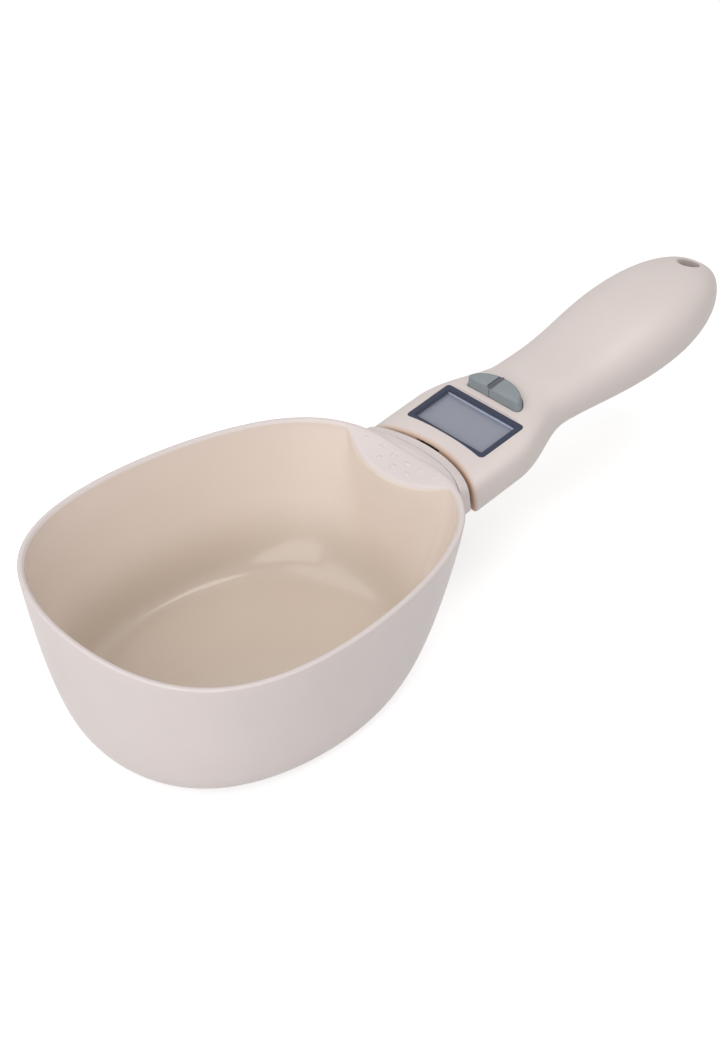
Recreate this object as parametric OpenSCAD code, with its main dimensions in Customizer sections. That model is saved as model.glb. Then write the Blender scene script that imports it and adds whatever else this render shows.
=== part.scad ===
/* [Bowl] */
// Length of the bowl's mouth, outside the rim
bowl_len = 117.7; // [110:0.1:126]
// Width of the bowl's mouth across its middle, outside the rim
bowl_w = 94.7; // [86:0.1:104]
// Height of the rim above the surface the bowl stands on
bowl_h = 45; // [40:0.5:52]
// Thickness of the bowl's wall
bowl_wall = 1.8; // [1.4:0.1:2.6]
// Thickness of the bowl's floor
bowl_floor = 2.2; // [1.4:0.1:4]
// Length of the flat the bowl stands on
base_len = 76; // [64:0.5:84]
// Width of the flat the bowl stands on
base_w = 66; // [56:0.5:72]
// How far the mouth's middle lies towards the handle from the base's middle
rim_shift = 8; // [4:0.5:12]
// How far the ledge's edge curves into the bowl from the rim's handle end
ledge_depth = 10.9; // [9:0.1:12.5]
// Radius of the ledge's edge
ledge_r = 36; // [28:0.5:44]
// How far the ledge slopes down towards the bowl
ledge_drop = 3; // [1:0.25:4]
// Radius of a grip dot on the ledge
dot_r = 0.9; // [0.5:0.05:1.2]
// How far the rim dips where it meets the neck
neck_dip = 1.5; // [0:0.1:2]
// Distance between two grip dots in a row
dot_pitch = 5.3; // [4:0.1:6]

/* [Neck collar] */
// Width of the collar between bowl and handle
collar_w = 41; // [34:0.5:42]
// Height of the collar
collar_h = 12.4; // [10:0.2:13]
// Length of the collar along the handle
collar_l = 3; // [2.4:0.1:3.4]
// Radius of the collar's rounded end, seen from above
collar_r = 44.6; // [42:0.2:52]
// Gap between the collar's end and the handle's head
neck_gap = 1.1; // [0.8:0.1:2]

/* [Handle] */
// Upward tilt of the handle from the bowl's rim, in degrees
handle_tilt = 8.1; // [4:0.1:10]
// Distance from the rim's handle end to the middle of the display
head_reach = 21.5; // [20:0.1:26]
// How far the display's face lies below the rim
display_drop = 1; // [0:0.1:3]
// Distance from the display's middle to the handle's far tip
tip_reach = 105; // [100:0.5:120]
// Width of the head that carries the display
head_w = 41.4; // [38:0.2:46]
// Width of the neck behind the buttons
neck_w = 28.4; // [26:0.2:34]
// Width of the grip's bulb
bulb_w = 34.6; // [33.5:0.2:40]
// Thickness of the head
head_t = 14.1; // [13.6:0.1:17]
// Thickness of the grip's bulb
bulb_t = 22.4; // [22:0.1:26]
// Thickness of the handle's walls
shell_t = 1.8; // [1.4:0.1:2.2]
// Radius of the hanging hole
hang_r = 3.3; // [2.5:0.1:3.6]
// Distance from the handle's tip to the middle of the hanging hole
hang_inset = 7.6; // [7:0.1:9]

/* [Display and keys] */
// Width of the display window across the handle
window_w = 29.4; // [26:0.2:31]
// Length of the display window along the handle
window_l = 17.2; // [15:0.2:18]
// Thickness of the display window
window_t = 0.8; // [0.6:0.05:0.9]
// Width of the dark border round the display
border_w = 1.6; // [1:0.1:2.2]
// Width of the key pad
pad_w = 20.9; // [18:0.1:22]
// Depth of the key pad along the handle
pad_d = 6.3; // [6:0.1:8]
// Distance from the display's middle to the key pad's straight front
pad_u = 11.4; // [10.8:0.1:12]
// How far the keys stand above the head
key_rise = 2.8; // [1.5:0.1:3.5]
// Width of the shallow groove in the pad's top where the two keys meet
key_groove = 1.8; // [1:0.1:2.4]
// How far a key travels when it is pressed
key_travel = 0.4; // [0.2:0.05:0.5]
// Clearance round a moving key
key_gap = 0.2; // [0.15:0.05:0.3]

/* [Inside] */
// Length of the load cell's bar
cell_bar_l = 47; // [45.5:0.5:48]
// Width of the load cell's bar
cell_bar_w = 12; // [10:0.5:12.5]
// Thickness of the load cell's bar
cell_bar_t = 5; // [4:0.1:5.4]
// Radius of a battery cell
battery_r = 5.25; // [4.8:0.05:5.3]
// Length of a battery cell without its button
battery_l = 43.3; // [40:0.1:43.6]
// Thickness of the circuit board
board_t = 0.8; // [0.6:0.1:1]
// Opening angle of the battery door, in degrees
door_swing = 75; // [30:5:90]
// Gap round the battery door
door_gap = 0.25; // [0.15:0.05:0.4]

/* [Hidden] */
$fn = 48;

// The mouth's outline: bluntness of its front, squareness, and how it narrows to the handle
rim_blunt = -2.8;
rim_square_x = -3.1;
rim_square_y = 1.3;
rim_narrow = 4.5;
// The part of a turn over which the rim dips to the neck
dip_angle = 26;
// The base's outline
base_blunt = 3;
base_narrow = -3.6;
// The wall's lean, and how it rounds into the base
wall_draft = 0.22;
round_start = 1.43;
round_end = 4.24;
// The soft edge inside the rim
edge_step = 0.6;
// Parts of the wall's depth from rim to base, and the number of points round it
wall_steps = [0, 0.14, 0.3, 0.46, 0.6, 0.72, 0.82, 0.9, 0.955, 0.985, 1];
around = 72;

// Landmarks along the handle, from the display's middle
neck_u = 27;
belly_u = 6;
crest_u = 24;
dip_u = 42;
bulb_u = 70;
// Heights of the handle's top, above the display's face
head_top = 0.5;
dip_top = -0.1;
bulb_top = 1.7;
tip_w = -9.8;
// Squareness of the section at the head and at the grip, and where it changes
head_square = 4;
grip_square = 2.4;
square_u = 7;
square_l = 20;
// Angle below the side at which the shell meets the covers, and the seam's width as an angle
seam_angle = 36;
seam_gap = 0.6;
// Gap between pieces that rest against each other
touch = 0.05;

// Places that follow from the sizes
rim_end_x = rim_shift + bowl_len / 2;
display_x = rim_end_x + head_reach;
display_z = bowl_h - display_drop;
ledge_x = rim_end_x - ledge_depth + ledge_r;
collar_end_u = 7 - head_reach;
collar_centre_u = collar_end_u - collar_r;
shoulder_r = collar_r - collar_l;
front_r = collar_r + neck_gap;
hang_u = tip_reach - hang_inset;
sleeve_r = hang_r + 1.2;

// Heights of the stack under the display
mask_t = 0.1;
seat_w = -window_t - 0.1 - mask_t;
inner_top_w = head_top - shell_t;
lcd_t = 1.5;
lcd_low_w = inner_top_w - touch - lcd_t;
board_top_w = lcd_low_w - 0.75;
board_low_w = board_top_w - board_t;
bar_top_w = board_low_w - 0.8;
bar_low_w = bar_top_w - cell_bar_t;
bar_from_u = -29;
bar_to_u = bar_from_u + cell_bar_l;
// The mouth in the head's front that the load cell's bar passes through
mouth_half_w = cell_bar_w / 2 + 0.9;
mouth_top_w = bar_top_w + 3.2;
mouth_low_w = bar_low_w - 1.4;
// The slot in the head's front wall, above the mouth, that shows in the gap
slot_v = [-3.1, 5.5];
slot_w = [mouth_top_w - 0.8, head_top - 0.85];

// The display cell reaches under the border, and its frame stands round it
lcd_out = 0.9;
lcd_l = window_l - 2 * border_w + 2 * lcd_out;
lcd_w = window_w - 2 * border_w + 2 * lcd_out;
frame_wall = 1;
frame_gap = 0.15;
frame_l = lcd_l + 2 * frame_wall;
frame_w = lcd_w + 2 * frame_wall;

// How far the housing's lip covers the window's edge at the side of the bowl, and its curve
lip = 0.6;
lip_half_w = window_w / 2 - 1.2;
lip_r = (lip_half_w * lip_half_w + lip * lip) / (2 * lip);

// Screws: shank and head radius, head height, and how deep the head lies in its recess
screw_r = 0.9;
screw_gap = 0.04;
screw_head_r = 1.8;
screw_head_h = 1;
screw_sink = 0.4;
// Places of the screws, as distance along the handle and to its side
cover_screw_at = [[-11, 13], [-11, -13], [27, 7.4], [27, -7.4]];
board_screw_u = frame_l / 2 + 1.9;
board_screw_v = half_w(board_screw_u, shell_t) - screw_head_r - 1.25;
board_screw_at = [[board_screw_u, board_screw_v], [board_screw_u, -board_screw_v], [21, 8.2], [21, -8.2]];
neck_cell_screw_u = [-24, -18.8];
head_cell_screw_u = [10.5, 15.5];
neck_screw_v = 8.7;
neck_screw_w = -6.6;

// The pocket behind the bowl's ledge, and the collar's tongue in it
pocket_u = -29.5;
pocket_half_w = 10.5;
pocket_top_w = -2.9;
pocket_low_w = -11;
tongue_gap = 0.12;

// Keys: the D-shaped pad with its chamfer, flange and plunger
key_top_w = head_top + key_rise;
key_chamfer = 0.7;
flange_t = 0.6;
flange_out = 0.8;
key_split_v = 1.5;
groove_t = 0.6;
switch_w = 4.2;
switch_t = 0.75;
plunger_r = 0.9;
plunger_low_w = board_top_w + 0.55;

// The battery bay between the two covers
bay_from_u = 43;
hinge_u = 90.2;
hinge_r = 1;
hinge_half_w = 6;
cell_v = battery_r + 0.35;
cell_w = -10.2;
tray_gap = 0.35;
tray_wall = 0.75;
tray_from_u = bay_from_u - 1.6;
tray_to_u = hinge_u + 0.8;
contact_t = 0.4;
cell_end_u = tray_to_u - tray_wall - contact_t;
cell_start_u = tray_from_u + tray_wall + contact_t;
spring_turns = 3;
spring_wire_r = 0.25;

// The outline of the bowl at one height: waves of one, two and three turns
function outline(l, w, blunt, square_x, square_y, narrow, a) = [
    (l / 2 - square_x) * cos(a) + square_x * cos(3 * a) + blunt * (cos(2 * a) - 1),
    (w / 2 + square_y) * sin(a) + square_y * sin(3 * a) - narrow * sin(2 * a)
];
function rim_at(a) = [rim_shift, 0]
    + outline(bowl_len, bowl_w, rim_blunt, rim_square_x, rim_square_y, rim_narrow, a);
function base_at(a) = outline(base_len, base_w, base_blunt, 0, 0, base_narrow, a);
// Share of the way from rim outline to base outline at the part s of the depth
function lean(s) = 1 - (1 - wall_draft * s) * pow(1 - pow(s, round_start), 1 / round_end);
function wall_at(a, s) = rim_at(a) * (1 - lean(s)) + base_at(a) * lean(s);
// The wall's point moved inwards by d, square to the outline
function inset_at(a, s, d) =
    let (q = wall_at(a + 0.5, s) - wall_at(a - 0.5, s))
    wall_at(a, s) + d * [-q.y, q.x] / norm(q);
// A point past the ledge's edge is drawn back to it, towards the mouth's middle
function at_ledge(p) =
    let (
        q = p - [rim_shift, 0],
        c = [ledge_x - rim_shift, 0],
        b = q * c / norm(q),
        h = b * b - c * c + ledge_r * ledge_r
    )
    b > 0 && h > 0 && norm(q) > b - sqrt(h) ? [rim_shift, 0] + q / norm(q) * (b - sqrt(h)) : p;
function dip(a) = abs(a) < dip_angle ? neck_dip * (1 + cos(180 * a / dip_angle)) / 2 : 0;
function lift(p, z) = [p.x, p.y, z];
// How far the ledge's edge lies lower, by how far it is drawn back from the rim
function ledge_fall(a) =
    let (p = inset_at(a, 0, bowl_wall))
    ledge_drop * norm(p - at_ledge(p)) / (ledge_depth - bowl_wall);
function inner_top(a) = bowl_h - edge_step - ledge_fall(a) - dip(a) * max(0, 1 - ledge_fall(a));
// Rings round the bowl: angles from -180 to 180, so that the handle's end is at 0
turn = [for (i = [0:around - 1]) -180 + 360 * i / around];
function outer_ring(s) = [for (a = turn) lift(wall_at(a, s), (bowl_h - dip(a)) * (1 - s))];
function rim_ring(up) = [for (a = turn) lift(inset_at(a, 0, bowl_wall), bowl_h - dip(a) + up)];
function inner_ring(s) = [for (a = turn)
    lift(at_ledge(inset_at(a, s, bowl_wall + 0.1)), inner_top(a) * (1 - s) + bowl_floor * s)];
// Height of the ledge at the place x, y
function ledge_z(x, y) =
    let (
        a = asin(y / (bowl_w / 2)),
        p = inset_at(a, 0, bowl_wall),
        q = at_ledge(inset_at(a, 0, bowl_wall + 0.1))
    )
    mix(bowl_h - dip(a), inner_top(a), (p.x - x) / (p.x - q.x));

function mix(a, b, t) = a + (b - a) * t;
function ease(t) = t <= 0 ? 0 : t >= 1 ? 1 : (1 - cos(180 * t)) / 2;
function blend(a, b, u, from, to) = mix(a, b, ease((u - from) / (to - from)));
function signed_pow(v, e) = sign(v) * pow(abs(v), e);
// Part of the way from the bulb to the tip, and how the section closes there
function tail(u) = max(0, (u - bulb_u) / (tip_reach - bulb_u));
function closing(u, e) = sqrt(max(0, 1 - pow(tail(u), e)));
// Half the handle's width, its top and its underside, moved inwards by d
function half_w(u, d) = u < neck_u ? blend(head_w, neck_w, u, 0, neck_u) / 2 - d
    : u < bulb_u ? blend(neck_w, bulb_w, u, neck_u, bulb_u) / 2 - d
    : (bulb_w / 2 - d) * closing(u, 2);
function top_w(u, d) = u < dip_u ? blend(head_top, dip_top, u, crest_u, dip_u) - d
    : u < bulb_u ? blend(dip_top, bulb_top, u, dip_u, bulb_u) - d
    : tip_w + (bulb_top - d - tip_w) * closing(u, 3);
function low_w(u, d) = u < bulb_u ? blend(head_top - head_t, bulb_top - bulb_t, u, belly_u, bulb_u) + d
    : tip_w - (tip_w - bulb_top + bulb_t - d) * closing(u, 2.3);
function square_at(u) = blend(head_square, grip_square, u, square_u, square_u + square_l);
// The point of the handle's surface at the place u and the angle f, moved inwards by d
function grip_at(u, f, d) =
    let (
        e = 2 / square_at(u),
        t = top_w(u, d),
        l = low_w(u, d)
    )
    [
        u - d * tail(u),
        half_w(u, d) * signed_pow(cos(f), e),
        (t + l) / 2 + (t - l) / 2 * signed_pow(sin(f), e)
    ];
// Height of the handle's underside at the place u, v
function under_w(u, v) =
    let (
        n = square_at(u),
        t = top_w(u, 0),
        l = low_w(u, 0)
    )
    (t + l) / 2 - (t - l) / 2 * pow(1 - pow(abs(v) / half_w(u, 0), n), 1 / n);
// Height of the handle's top at the place u, v
function over_w(u, v) = top_w(u, 0) + low_w(u, 0) - under_w(u, v);
// The head's hollow front: an arc of radius r about the collar's centre
function arc_u(v, r) = collar_centre_u + sqrt(r * r - v * v);
function mouth_at(f) = [
    0,
    mouth_half_w * signed_pow(cos(f), 2 / head_square),
    (mouth_top_w + mouth_low_w) / 2 + (mouth_top_w - mouth_low_w) / 2 * signed_pow(sin(f), 2 / head_square)
];
// The front wall's points at the angle f, from the outline to the mouth
function front_row(f, d, r) = [for (t = [0:1 / 3:1.01])
    let (p = mix(grip_at(0, f, d), mouth_at(f), t))
    [arc_u(p.y, r), p.y, p.z]];
function reverse(l) = [for (i = [len(l) - 1:-1:0]) l[i]];
// Places of the sections along the handle, closer together where it curves
grip_steps = [
    -10, 0, 4, 8, 12, 16, 20, 24, 28, 33, 38, 44, 50, 57, 64,
    70, 76, 81, 85.5, 89.5, 93, 96, 98.6, 100.8, 102.6, 103.8, 104.6, 104.93
];
stations = [for (g = grip_steps)
    g <= bulb_u ? g : bulb_u + (g - bulb_u) * (tip_reach - bulb_u) / (105 - bulb_u)];
function stations_between(a, b) = concat([a], [for (u = stations) if (u > a + 0.6 && u < b - 0.6) u], [b]);

// A closed skin over rings of points, each turning the same way, with flat ends
module skin(rings) {
    n = len(rings[0]);
    last = len(rings) - 1;
    polyhedron(
        points = [for (r = rings) each r],
        faces = concat(
            [[for (i = [0:n - 1]) i]],
            [for (k = [0:last - 1], i = [0:n - 1]) [k * n + i, (k + 1) * n + i, (k + 1) * n + (i + 1) % n]],
            [for (k = [0:last - 1], i = [0:n - 1])
                [k * n + i, (k + 1) * n + (i + 1) % n, k * n + (i + 1) % n]],
            [[for (i = [n - 1:-1:0]) last * n + i]]
        ),
        convexity = 8
    );
}

// A wall swept over an angle: rows of one closed loop each, which may share two points at the tip
module swept(rows, poles) {
    m = len(rows[0]);
    h = len(poles);
    last = len(rows) - 1;
    turns = h == 0 ? m - 1 : m - 2;
    function end(b) = concat(
        [for (k = [0:m / 2 - 2]) [b + k, b + k + 1, b + m - 2 - k]],
        [for (k = [0:m / 2 - 2]) [b + k, b + m - 2 - k, b + m - 1 - k]],
        h == 0 ? [] : [[0, b, b + m - 1], [0, b + m - 1, 1]]
    );
    polyhedron(
        points = concat(poles, [for (r = rows) each r]),
        faces = concat(
            [for (j = [0:last - 1], k = [0:turns])
                let (a = h + j * m, n = (k + 1) % m) [a + k, a + m + k, a + m + n]],
            [for (j = [0:last - 1], k = [0:turns])
                let (a = h + j * m, n = (k + 1) % m) [a + k, a + m + n, a + n]],
            h == 0 ? [] : [for (j = [0:last - 1]) [0, h + (j + 1) * m, h + j * m]],
            h == 0 ? [] : [for (j = [1:last]) [1, h + j * m - 1, h + (j + 1) * m - 1]],
            end(h),
            [for (t = end(h + last * m)) reverse(t)]
        ),
        convexity = 8
    );
}

tip_points = [[tip_reach, 0, tip_w], [tip_reach - shell_t, 0, tip_w]];
// Wall of the handle between two angles from its front wall to the place u
module front_wall(from, to, steps, us, poles) {
    swept(
        [for (j = [0:steps]) let (f = from + (to - from) * j / steps)
            concat(
                [for (u = reverse(us)) grip_at(u, f, 0)],
                front_row(f, 0, front_r),
                reverse(front_row(f, shell_t, front_r + shell_t)),
                [for (u = us) grip_at(u, f, shell_t)]
            )],
        poles
    );
}
// Wall of the handle between two angles and two places
module grip_wall(from, to, steps, us, poles) {
    swept(
        [for (j = [0:steps]) let (f = from + (to - from) * j / steps)
            concat(
                [for (u = reverse(us)) grip_at(u, f, 0)],
                [for (u = us) grip_at(u, f, shell_t)]
            )],
        poles
    );
}

// Places its children in the handle's frame: x along the handle, z out of the display
module in_handle() {
    translate([display_x, 0, display_z])
        rotate([0, -handle_tilt, 0])
            children();
}

// A plate with round corners that stands on its underside
module plate(l, w, t, r) {
    hull()
        for (i = [-1, 1], j = [-1, 1])
            translate([i * (l / 2 - r), j * (w / 2 - r), 0])
                cylinder(r = r, h = t, $fn = 32);
}

// A box between two corners
module box(a, b) {
    translate(a)
        cube(b - a);
}

// A screw that points up from the outer face of its head
module screw(length) {
    difference() {
        union() {
            cylinder(r = screw_head_r, h = screw_head_h);
            translate([0, 0, screw_head_h - touch])
                cylinder(r = screw_r, h = length + touch);
        }
        for (a = [0, 90])
            rotate([0, 0, a])
                box([-1.1, -0.2, -0.1], [1.1, 0.2, 0.55]);
    }
}
// The recess and clearance hole for a screw whose head's outer face is at the origin
module screw_hole(length) {
    translate([0, 0, -6])
        cylinder(r = screw_head_r + 0.15, h = 6 + screw_head_h + touch, $fn = 24);
    cylinder(r = screw_r + screw_gap, h = screw_head_h + length + 0.4, $fn = 20);
}

// The bowl's wall from base to rim and down its inside
module bowl_wall_skin() {
    skin(concat(
        [for (s = reverse(wall_steps)) outer_ring(s)],
        [rim_ring(0)],
        [for (s = wall_steps) inner_ring(s)]
    ));
}
// The room inside the bowl, up to well above the rim
module bowl_room() {
    skin(concat(
        [for (s = reverse(wall_steps)) inner_ring(s)],
        [rim_ring(0)],
        [[for (a = turn) lift(inset_at(a, 0, bowl_wall), bowl_h + 10)]]
    ));
}

// The neck between bowl and handle, whose top falls from the rim to the head's level
neck_rim_w = (display_drop - neck_dip) / cos(handle_tilt) + (head_reach - 0.2) * tan(handle_tilt);
function neck_top_w(u) = blend(neck_rim_w - 0.15, head_top, u, -head_reach, collar_end_u);
neck_low_w = head_top - collar_h;
module neck_form(r) {
    intersection() {
        skin([for (u = [-36, -head_reach, -20, -18.5, -17, collar_end_u, -9])
            let (t = neck_top_w(u), l = neck_low_w)
            [for (f = [0:10:350]) [
                u,
                collar_w / 2 * signed_pow(cos(f), 2 / head_square),
                (t + l) / 2 + (t - l) / 2 * signed_pow(sin(f), 2 / head_square)
            ]]]);
        translate([collar_centre_u, 0, -30])
            cylinder(r = r, h = 60, $fn = 180);
    }
}

dot_rows = [[3.7, 6], [6.6, 3]];
module grip_dots() {
    for (row = dot_rows, i = [0:row[1] - 1]) {
        x = rim_end_x - row[0];
        y = (i - (row[1] - 1) / 2) * dot_pitch;
        translate([x, y, ledge_z(x, y)])
            hull() {
                translate([0, 0, -0.8])
                    cylinder(r = dot_r + 0.1, h = 0.8, $fn = 16);
                cylinder(r = dot_r * 0.6, h = 0.4, $fn = 16);
            }
    }
}

module scoop_bowl() {
    color("#d9cdca")
        difference() {
            union() {
                bowl_wall_skin();
                difference() {
                    in_handle() neck_form(shoulder_r);
                    bowl_room();
                }
                grip_dots();
            }
            in_handle() tongue_form(0);
            in_handle()
                neck_screw_places()
                    cylinder(r = screw_r + screw_gap, h = neck_screw_l + screw_head_h + 0.3, $fn = 20);
            in_handle()
                for (u = neck_cell_screw_u)
                    translate([u, 0, neck_low_w + screw_sink])
                        screw_hole(1);
        }
}

// The tongue that fills the pocket; g is its clearance
module tongue_form(g) {
    from = pocket_u + g;
    to = collar_end_u - collar_l / 2;
    translate([(from + to) / 2, 0, pocket_low_w + g])
        plate(to - from, 2 * (pocket_half_w - g), pocket_top_w - pocket_low_w - 2 * g, 1.2);
}
// Each neck screw points along the handle towards the bowl from its head in the collar's end
neck_screw_l = 14;
neck_screw_head_u = arc_u(neck_screw_v, collar_r) - screw_sink;
module neck_screw_places() {
    for (v = [-neck_screw_v, neck_screw_v])
        translate([neck_screw_head_u, v, neck_screw_w])
            rotate([0, -90, 0])
                children();
}

module neck_collar() {
    color("#d6cac6")
        in_handle()
            difference() {
                union() {
                    difference() {
                        neck_form(collar_r);
                        translate([collar_centre_u, 0, -30])
                            cylinder(r = shoulder_r + 0.1, h = 60, $fn = 180);
                    }
                    difference() {
                        tongue_form(tongue_gap);
                        for (v = [-1, 1], w = [-9, -5])
                            hull()
                                for (u = [-28, -20])
                                    translate([u, v * (pocket_half_w - tongue_gap + 0.1), w])
                                        sphere(r = 0.5, $fn = 16);
                    }
                }
                box(
                    [bar_from_u - touch, -cell_bar_w / 2 - touch, bar_low_w - touch],
                    [collar_end_u + 3, cell_bar_w / 2 + touch, bar_top_w + touch]
                );
                for (v = [-1, 1])
                    hull()
                        for (u = [-26, -21])
                            translate([u, v * (cell_bar_w / 2), -4.2])
                                sphere(r = 0.6, $fn = 16);
                neck_screw_places() screw_hole(neck_screw_l);
                for (u = neck_cell_screw_u)
                    translate([u, 0, neck_low_w + screw_sink])
                        screw_hole(1);
            }
}

module neck_screws() {
    color("silver")
        in_handle()
            neck_screw_places() screw(neck_screw_l);
}

// The keys' D-shaped outline, grown by g: a straight front and a half ellipse behind it
function pad_outline(g) = concat(
    [for (f = [-90:7.5:90]) [pad_u + (pad_d + g) * cos(f), (pad_w / 2 + g) * sin(f)]],
    [[pad_u - g, pad_w / 2 + g], [pad_u - g, -pad_w / 2 - g]]
);

module shell_boss(p, low, r) {
    translate([p.x, p.y, low])
        cylinder(r = r, h = over_w(p.x, abs(p.y) + r) - 0.3 - low, $fn = 20);
}
function boss_low_w(p) = under_w(p.x, p.y) + 3.2;

module handle_shell() {
    color("#d9cec9")
        in_handle()
            difference() {
                union() {
                    front_wall(-seam_angle, 180 + seam_angle, 36, stations, tip_points);
                    for (p = cover_screw_at)
                        shell_boss(p, boss_low_w(p) + touch, 2.3);
                    for (p = board_screw_at)
                        shell_boss(p, board_top_w + touch, 1.7);
                    // Ribs that hold the battery tray down
                    for (u = [50, 60, 70, 80], v = [-1, 1])
                        hull()
                            for (w = [
                                cell_w + battery_r + tray_gap + tray_wall + 0.6 + touch,
                                over_w(u, cell_v + 3.1) - 1.2
                            ])
                                translate([u, v * cell_v, w])
                                    rotate([90, 0, 0])
                                        cylinder(r = 0.6, h = 5, center = true, $fn = 8);
                }
                // Seat of the window, and the opening under it
                difference() {
                    translate([0, 0, seat_w])
                        plate(window_l + 0.2, window_w + 0.2, 4, 1.2);
                    translate([lip - window_l / 2 - 0.1 - lip_r, 0, touch])
                        cylinder(r = lip_r, h = 4, $fn = 360);
                }
                translate([0, 0, -4])
                    plate(window_l - 2 * border_w, window_w - 2 * border_w, 6, 0.4);
                translate([0, 0, inner_top_w - 0.3])
                    linear_extrude(4)
                        polygon(pad_outline(key_gap));
                // Room under the top for the keys' flange and the display's frame
                translate([0, 0, board_top_w])
                    linear_extrude(inner_top_w - board_top_w)
                        polygon(pad_outline(flange_out + key_gap));
                box(
                    [-frame_l / 2 - frame_gap, -frame_w / 2 - frame_gap, board_top_w],
                    [frame_l / 2 + frame_gap, frame_w / 2 + frame_gap, inner_top_w]
                );
                box(
                    [arc_u(0, front_r) - 3, slot_v[0], slot_w[0]],
                    [arc_u(0, front_r) + shell_t + 0.5, slot_v[1], slot_w[1]]
                );
                translate([hang_u, 0, tip_w])
                    cylinder(r = sleeve_r + touch, h = 20, $fn = 64);
                for (p = cover_screw_at)
                    translate([p.x, p.y, boss_low_w(p) - 1])
                        cylinder(r = screw_r + screw_gap, h = 7, $fn = 20);
                for (p = board_screw_at)
                    translate([p.x, p.y, board_top_w - 1])
                        cylinder(r = screw_r + screw_gap, h = 2.6, $fn = 20);
            }
}

module handle_cover() {
    us = stations_between(-10, bay_from_u);
    from = 180 + seam_angle + seam_gap;
    to = 360 - seam_angle - seam_gap;
    color("#cfc4bf")
        in_handle()
            difference() {
                union() {
                    front_wall(from, to, 14, us, []);
                    for (p = cover_screw_at)
                        translate([p.x, p.y, under_w(p.x, p.y) + 1])
                            cylinder(r = 2.6, h = 2.2, $fn = 20);
                    // Pad that the load cell's bar is screwed to
                    hull()
                        for (u = [head_cell_screw_u[0], head_cell_screw_u[1]])
                            translate([u, 0, low_w(u, 0) + 1])
                                cylinder(r = 3, h = bar_low_w - touch - low_w(u, 0) - 1, $fn = 20);
                    // Ribs across the inside
                    for (u = [-6, -1, 4, 22, 31, 36, 41])
                        hull()
                            for (v = [-6.5, 6.5])
                                translate([u, v, under_w(u, v) + 1])
                                    cylinder(r = 0.5, h = 1.6, $fn = 8);
                }
                for (p = cover_screw_at)
                    translate([p.x, p.y, under_w(p.x, p.y) + screw_sink])
                        screw_hole(5);
                for (u = head_cell_screw_u)
                    translate([u, 0, low_w(u, 0) + screw_sink])
                        screw_hole(5);
            }
}

module tail_cover() {
    us = concat([hinge_u + door_gap], [for (u = stations) if (u > hinge_u + 0.6) u]);
    from = 180 + seam_angle + seam_gap;
    to = 360 - seam_angle - seam_gap;
    color("#cfc4bf")
        in_handle()
            difference() {
                grip_wall(from, to, 14, us, tip_points);
                translate([hinge_u, 0, hinge_w])
                    rotate([90, 0, 0])
                        cylinder(r = hinge_r + 0.7, h = 40, center = true);
                translate([hang_u, 0, tip_w - 20])
                    cylinder(r = sleeve_r + touch, h = 20);
            }
}

module cover_screws() {
    color("silver")
        in_handle()
            for (p = cover_screw_at)
                translate([p.x, p.y, under_w(p.x, p.y) + screw_sink])
                    screw(5);
}

// A tube through the handle's end whose ends follow the surfaces
module hang_sleeve() {
    top = top_w(hang_u, 0) - 0.15;
    low = low_w(hang_u, 0) + 0.15;
    top_slope = atan((top_w(hang_u + hang_r, 0) - top_w(hang_u - hang_r, 0)) / (2 * hang_r));
    low_slope = atan((low_w(hang_u + hang_r, 0) - low_w(hang_u - hang_r, 0)) / (2 * hang_r));
    color("#cfc4bf")
        in_handle()
            difference() {
                translate([hang_u, 0, low - 4])
                    cylinder(r = sleeve_r, h = top - low + 8);
                translate([hang_u, 0, low - 5])
                    cylinder(r = hang_r, h = top - low + 10);
                translate([hang_u, 0, top])
                    rotate([0, -top_slope, 0])
                        box([-12, -12, 0], [12, 12, 12]);
                translate([hang_u, 0, low])
                    rotate([0, -low_slope, 0])
                        box([-12, -12, -12], [12, 12, 0]);
            }
}

module display_window() {
    color("#aab4c0", 0.4)
        in_handle()
            translate([0, 0, seat_w + touch])
                plate(window_l, window_w, window_t, 1.1);
}

module display_mask() {
    color("#3f4658")
        in_handle()
            translate([0, 0, -mask_t])
                difference() {
                    plate(window_l, window_w, mask_t, 1.1);
                    translate([0, 0, -1])
                        plate(window_l - 2 * border_w, window_w - 2 * border_w, 2, 0.4);
                }
}

module lcd_glass() {
    color("#9ea3ae")
        in_handle()
            box([-lcd_l / 2, -lcd_w / 2, lcd_low_w], [lcd_l / 2, lcd_w / 2, lcd_low_w + lcd_t]);
}

module lcd_frame() {
    color("#e8e8e4")
        in_handle()
            difference() {
                box(
                    [-frame_l / 2, -frame_w / 2, board_top_w + touch],
                    [frame_l / 2, frame_w / 2, lcd_low_w + 1]
                );
                box(
                    [-lcd_l / 2 - touch, -lcd_w / 2 - touch, board_top_w - 1],
                    [lcd_l / 2 + touch, lcd_w / 2 + touch, 0]
                );
            }
}

module zebra_strips() {
    color("#c86a78")
        in_handle()
            for (i = [-1, 1])
                translate([i * (lcd_l / 2 - 0.95 * pitch), 0, (board_top_w + lcd_low_w) / 2])
                    cube(
                        [1.26 * pitch, lcd_w - 2.4 * pitch, lcd_low_w - board_top_w - 2 * touch],
                        center = true
                    );
}

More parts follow.
